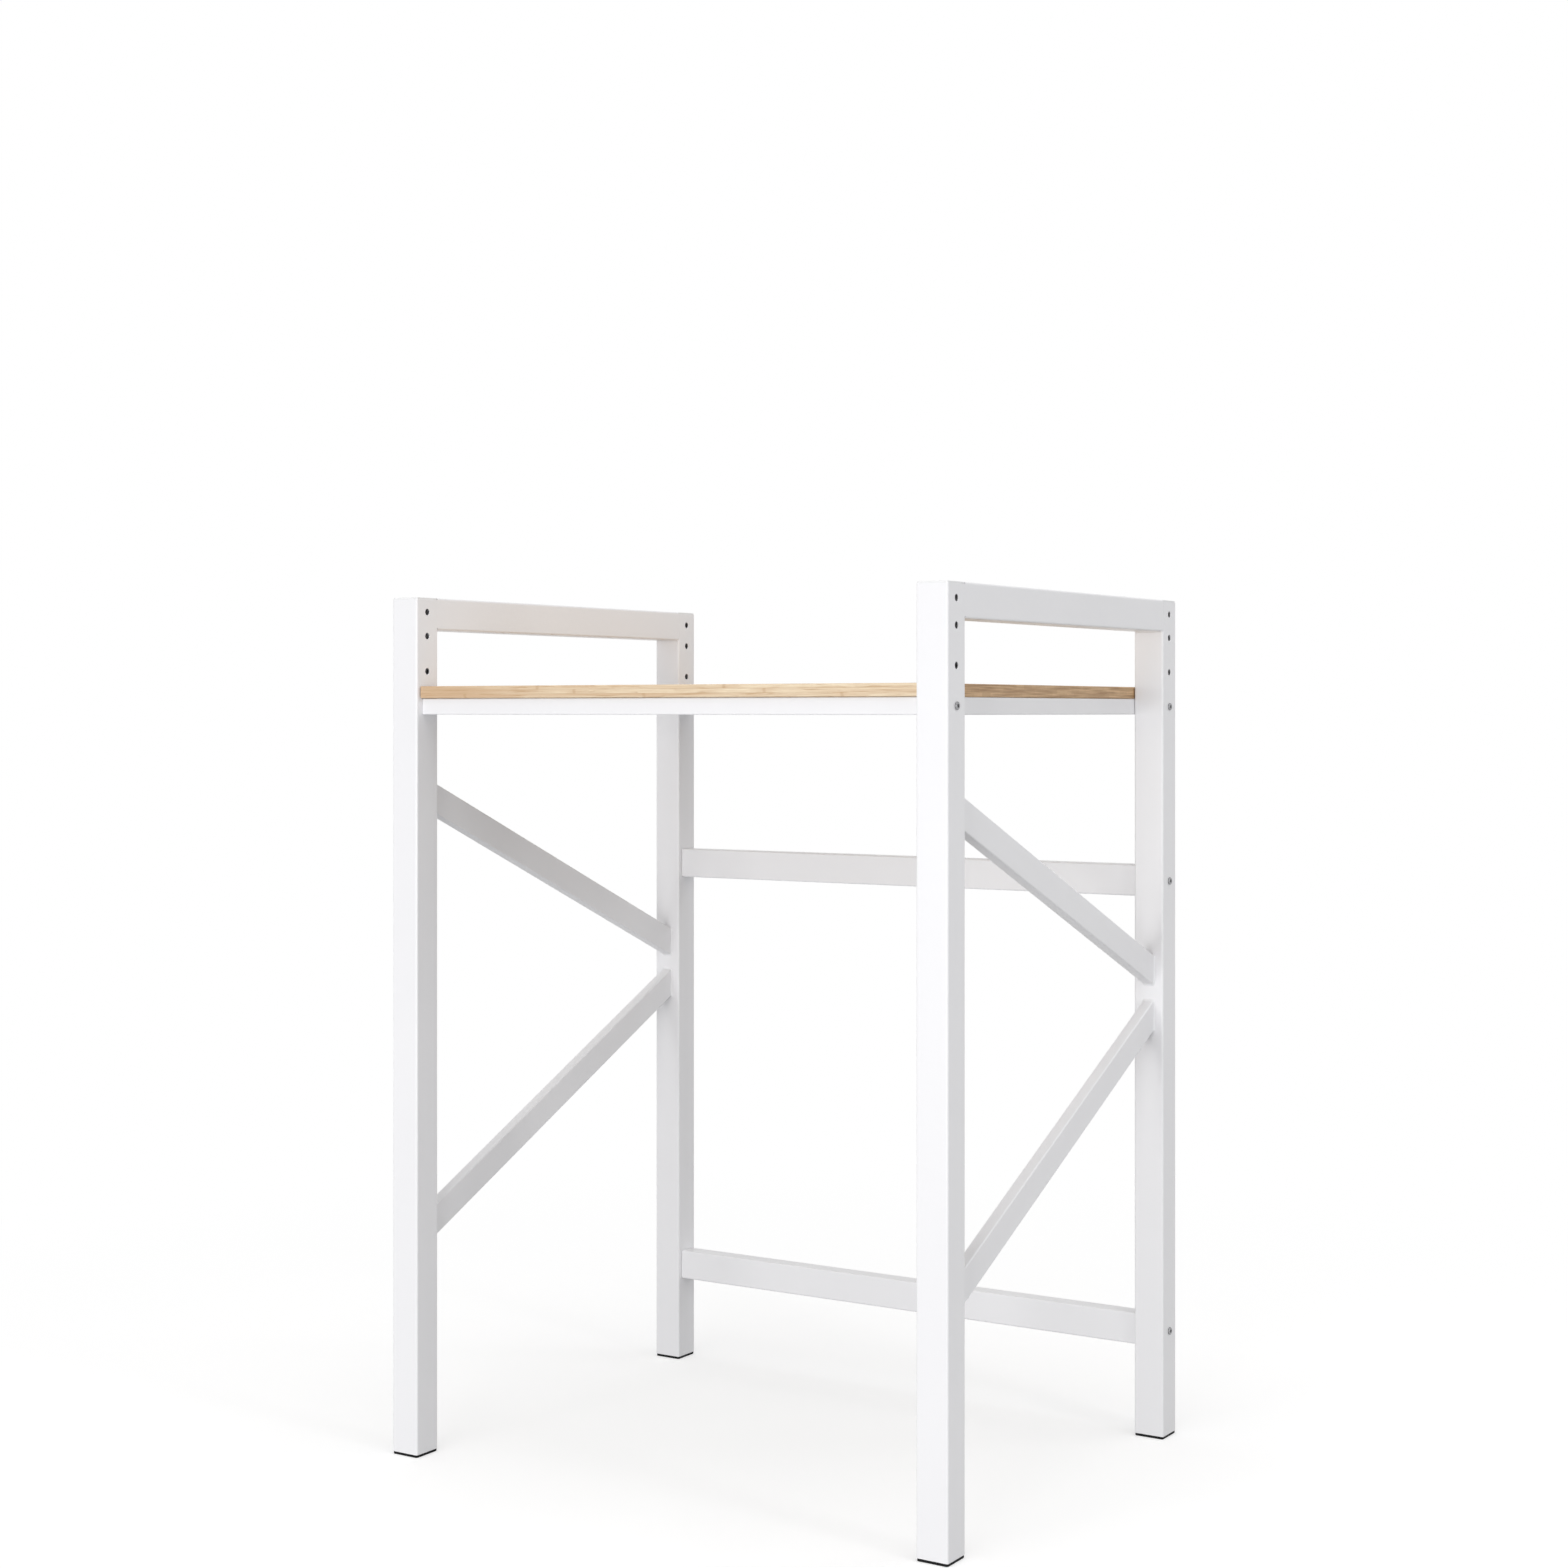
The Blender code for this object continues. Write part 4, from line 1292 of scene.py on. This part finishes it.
def fastener(head, length, radius, pitch, depth, plain, taper, blunt):
    """A closed skin along Z: the head's rings of (radius, height), then the shank's below
    0, which is plain at first and tapers to a blunt radius at its tip."""

    def shank_radius(along, turn):
        """The radius at a distance from the head and a turn from 0 to 1 round the shank."""
        wave = abs((along / pitch - turn) % 1 * 2 - 1)
        height = min(max((wave - CREST_FLAT) / (1 - 2 * CREST_FLAT), 0), 1)
        fade = min(max((along - plain) / pitch, 0), 1)
        cone = blunt + (radius - blunt) * (length - along) / taper
        return min(radius - depth * (1 - height) * fade, cone)

    turns = [number / THREAD_SIDES for number in range(THREAD_SIDES)]
    circle = [(math.cos(math.tau * turn), math.sin(math.tau * turn)) for turn in turns]
    rings = [[Vector((wide * x, wide * y, z)) for x, y in circle] for wide, z in head]
    count = round((length - plain) / pitch * THREAD_SAMPLES)
    for number in range(-1, count + 1):
        along = plain + (length - plain) * number / count if number >= 0 else 0.0
        ring = []
        for turn, (x, y) in zip(turns, circle):
            wide = shank_radius(along, turn)
            ring.append(Vector((wide * x, wide * y, -along)))
        rings.append(ring)
    return join_rings(bmesh.new(), rings, closed=False)


print(f"A thread has {THREAD_SIDES * THREAD_SAMPLES} points to a turn")

# %% [markdown]
# ### Low heads
# The bolts and the screws have the same kind of head: a flat top, a round shoulder, an
# upright rim and an edge that is just broken. It is turned in one piece with the shank,
# from a short list of radii and heights, so that no seam shows under it.

# %% Turn a head
HEAD_STEPS = 6
EDGE_BREAK = 0.00015


def head_rings(flat_radius, radius, rim, height):
    """Rings from the middle of a head's top, over its shoulder, to its underside."""
    head = [(flat_radius / 2, height)]
    for sine, cosine in quarter_turn(HEAD_STEPS):
        head.append((flat_radius + (radius - flat_radius) * sine, rim + (height - rim) * cosine))
    return head + [(radius, EDGE_BREAK), (radius - EDGE_BREAK, 0)]


print("A head's shoulder is rounded in", HEAD_STEPS, "steps")

# %% [markdown]
# ## The bolts
# Eight M6 bolts hold the stand together. Four carry the shelf and four the back rails,
# all with low heads, 9.5 mm across and under 2 mm high, so that from a step away a bolt
# looks like one more hole. A hexagon socket, 4 mm across its flats, takes the key. The
# last 24 mm are threaded.

# %% Turn the bolts
BOLT_RADIUS = 0.003
BOLT_HEAD_RADIUS = 0.00475
BOLT_HEAD_RIM = 0.0006
BOLT_FLAT_RADIUS = 0.0031
BOLT_PITCH = 0.001
THREAD_DEPTH = 0.00061
THREAD_LENGTH = 0.024
TIP_CHAMFER = 0.0007
SOCKET_SIDES = 6
SOCKET_FLATS = 0.004
SOCKET_DEPTH = 0.0018
SOCKET_CORNERS = 2 * SOCKET_FLATS / math.sqrt(3)  # its width from corner to corner
FIT_GAP = 0.0003  # the construction model leaves it under a bolt's head


def steel_bolt(node, post_node):
    low, high, middle = place_of(node)
    side = 1 if middle.x > 0 else -1
    post_low, post_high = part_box(post_node)
    seat_x = post_high.x + FIT_GAP if side > 0 else post_low.x - FIT_GAP
    tip_x, top_x = (low.x, high.x) if side > 0 else (high.x, low.x)
    length = abs(seat_x - tip_x)
    head = head_rings(BOLT_FLAT_RADIUS, BOLT_HEAD_RADIUS, BOLT_HEAD_RIM, abs(top_x - seat_x))
    shape = fastener(
        head,
        length,
        BOLT_RADIUS,
        BOLT_PITCH,
        THREAD_DEPTH,
        plain=length - THREAD_LENGTH,
        taper=TIP_CHAMFER,
        blunt=BOLT_RADIUS - TIP_CHAMFER,
    )
    facing = Matrix.Rotation(side * math.pi / 2, 4, "Y")
    seat = Matrix.Translation((seat_x, middle.y, middle.z))
    bmesh.ops.transform(shape, matrix=seat @ facing, verts=shape.verts)
    piece = show("threaded_" + node, shape, DARK_STEEL)
    mouth = Vector((top_x, middle.y, middle.z))
    cut(piece, drills([mouth], RIGHTWARD, SOCKET_CORNERS, 2 * SOCKET_DEPTH, SOCKET_SIDES))
    settle(piece)
    dress(piece, "dark_steel", node)


for where in CORNERS:
    steel_bolt("shelf_bolt_" + where, "post_" + where)
for level in LEVELS:
    for side_name in SIDES:
        steel_bolt(f"rail_bolt_{level}_{side_name}", "post_rear_" + side_name)

# %% [markdown]
# ## The board's screws
# Six short wood screws stand upside down in the cross bars and pull the board onto its
# frame. Their thread is coarse and deep for wood and runs down to a sharp point, and
# their pan heads have a crossed slot.

# %% Turn the screws
SCREW_RADIUS = 0.002
SCREW_HEAD_RADIUS = 0.004
SCREW_HEAD_HEIGHT = 0.0026
SCREW_HEAD_RIM = 0.0008
SCREW_FLAT_RADIUS = 0.0024
SCREW_PITCH = 0.0016
SCREW_THREAD_DEPTH = 0.0006
SCREW_POINT = 0.004
SCREW_PLAIN = 0.0015
POINT_BLUNT = 0.0001
SLOT_LENGTH = 0.0045
SLOT_WIDTH = 0.0010
SLOT_DEPTH = 0.0013


def steel_screw(node):
    low, high, middle = place_of(node)
    length = high.z - low.z - SCREW_HEAD_HEIGHT
    shape = fastener(
        head_rings(SCREW_FLAT_RADIUS, SCREW_HEAD_RADIUS, SCREW_HEAD_RIM, SCREW_HEAD_HEIGHT),
        length,
        SCREW_RADIUS,
        SCREW_PITCH,
        SCREW_THREAD_DEPTH,
        plain=SCREW_PLAIN,
        taper=SCREW_POINT,
        blunt=POINT_BLUNT,
    )
    upside_down = Matrix.Rotation(math.pi, 4, "X")
    seat = Matrix.Translation((*middle.xy, high.z - length))
    bmesh.ops.transform(shape, matrix=seat @ upside_down, verts=shape.verts)
    piece = show("threaded_" + node, shape, ZINC_STEEL)
    face = Vector((*middle.xy, low.z))
    for long_x, long_y in ((SLOT_LENGTH, SLOT_WIDTH), (SLOT_WIDTH, SLOT_LENGTH)):
        reach = Vector((long_x / 2, long_y / 2, SLOT_DEPTH))
        cut(piece, block(face - reach, face + reach))
    settle(piece)
    dress(piece, "zinc_steel", node)


for node in SCREW_NODES:
    steel_screw(node)

# %% [markdown]
# ## The threaded blocks
# Inside the ends of the bolted rails sit the blocks that the bolts screw into. Nobody
# ever sees them, so their construction nodes stay as they are and only take the
# zinc finish.

# %% Plate the blocks
BLOCKS = [node for node in frame["nodes"] if "_block_" in node]
for node in BLOCKS:
    frame["nodes"][node].data.materials[0] = ZINC_STEEL
print("Plated", len(BLOCKS), "blocks")
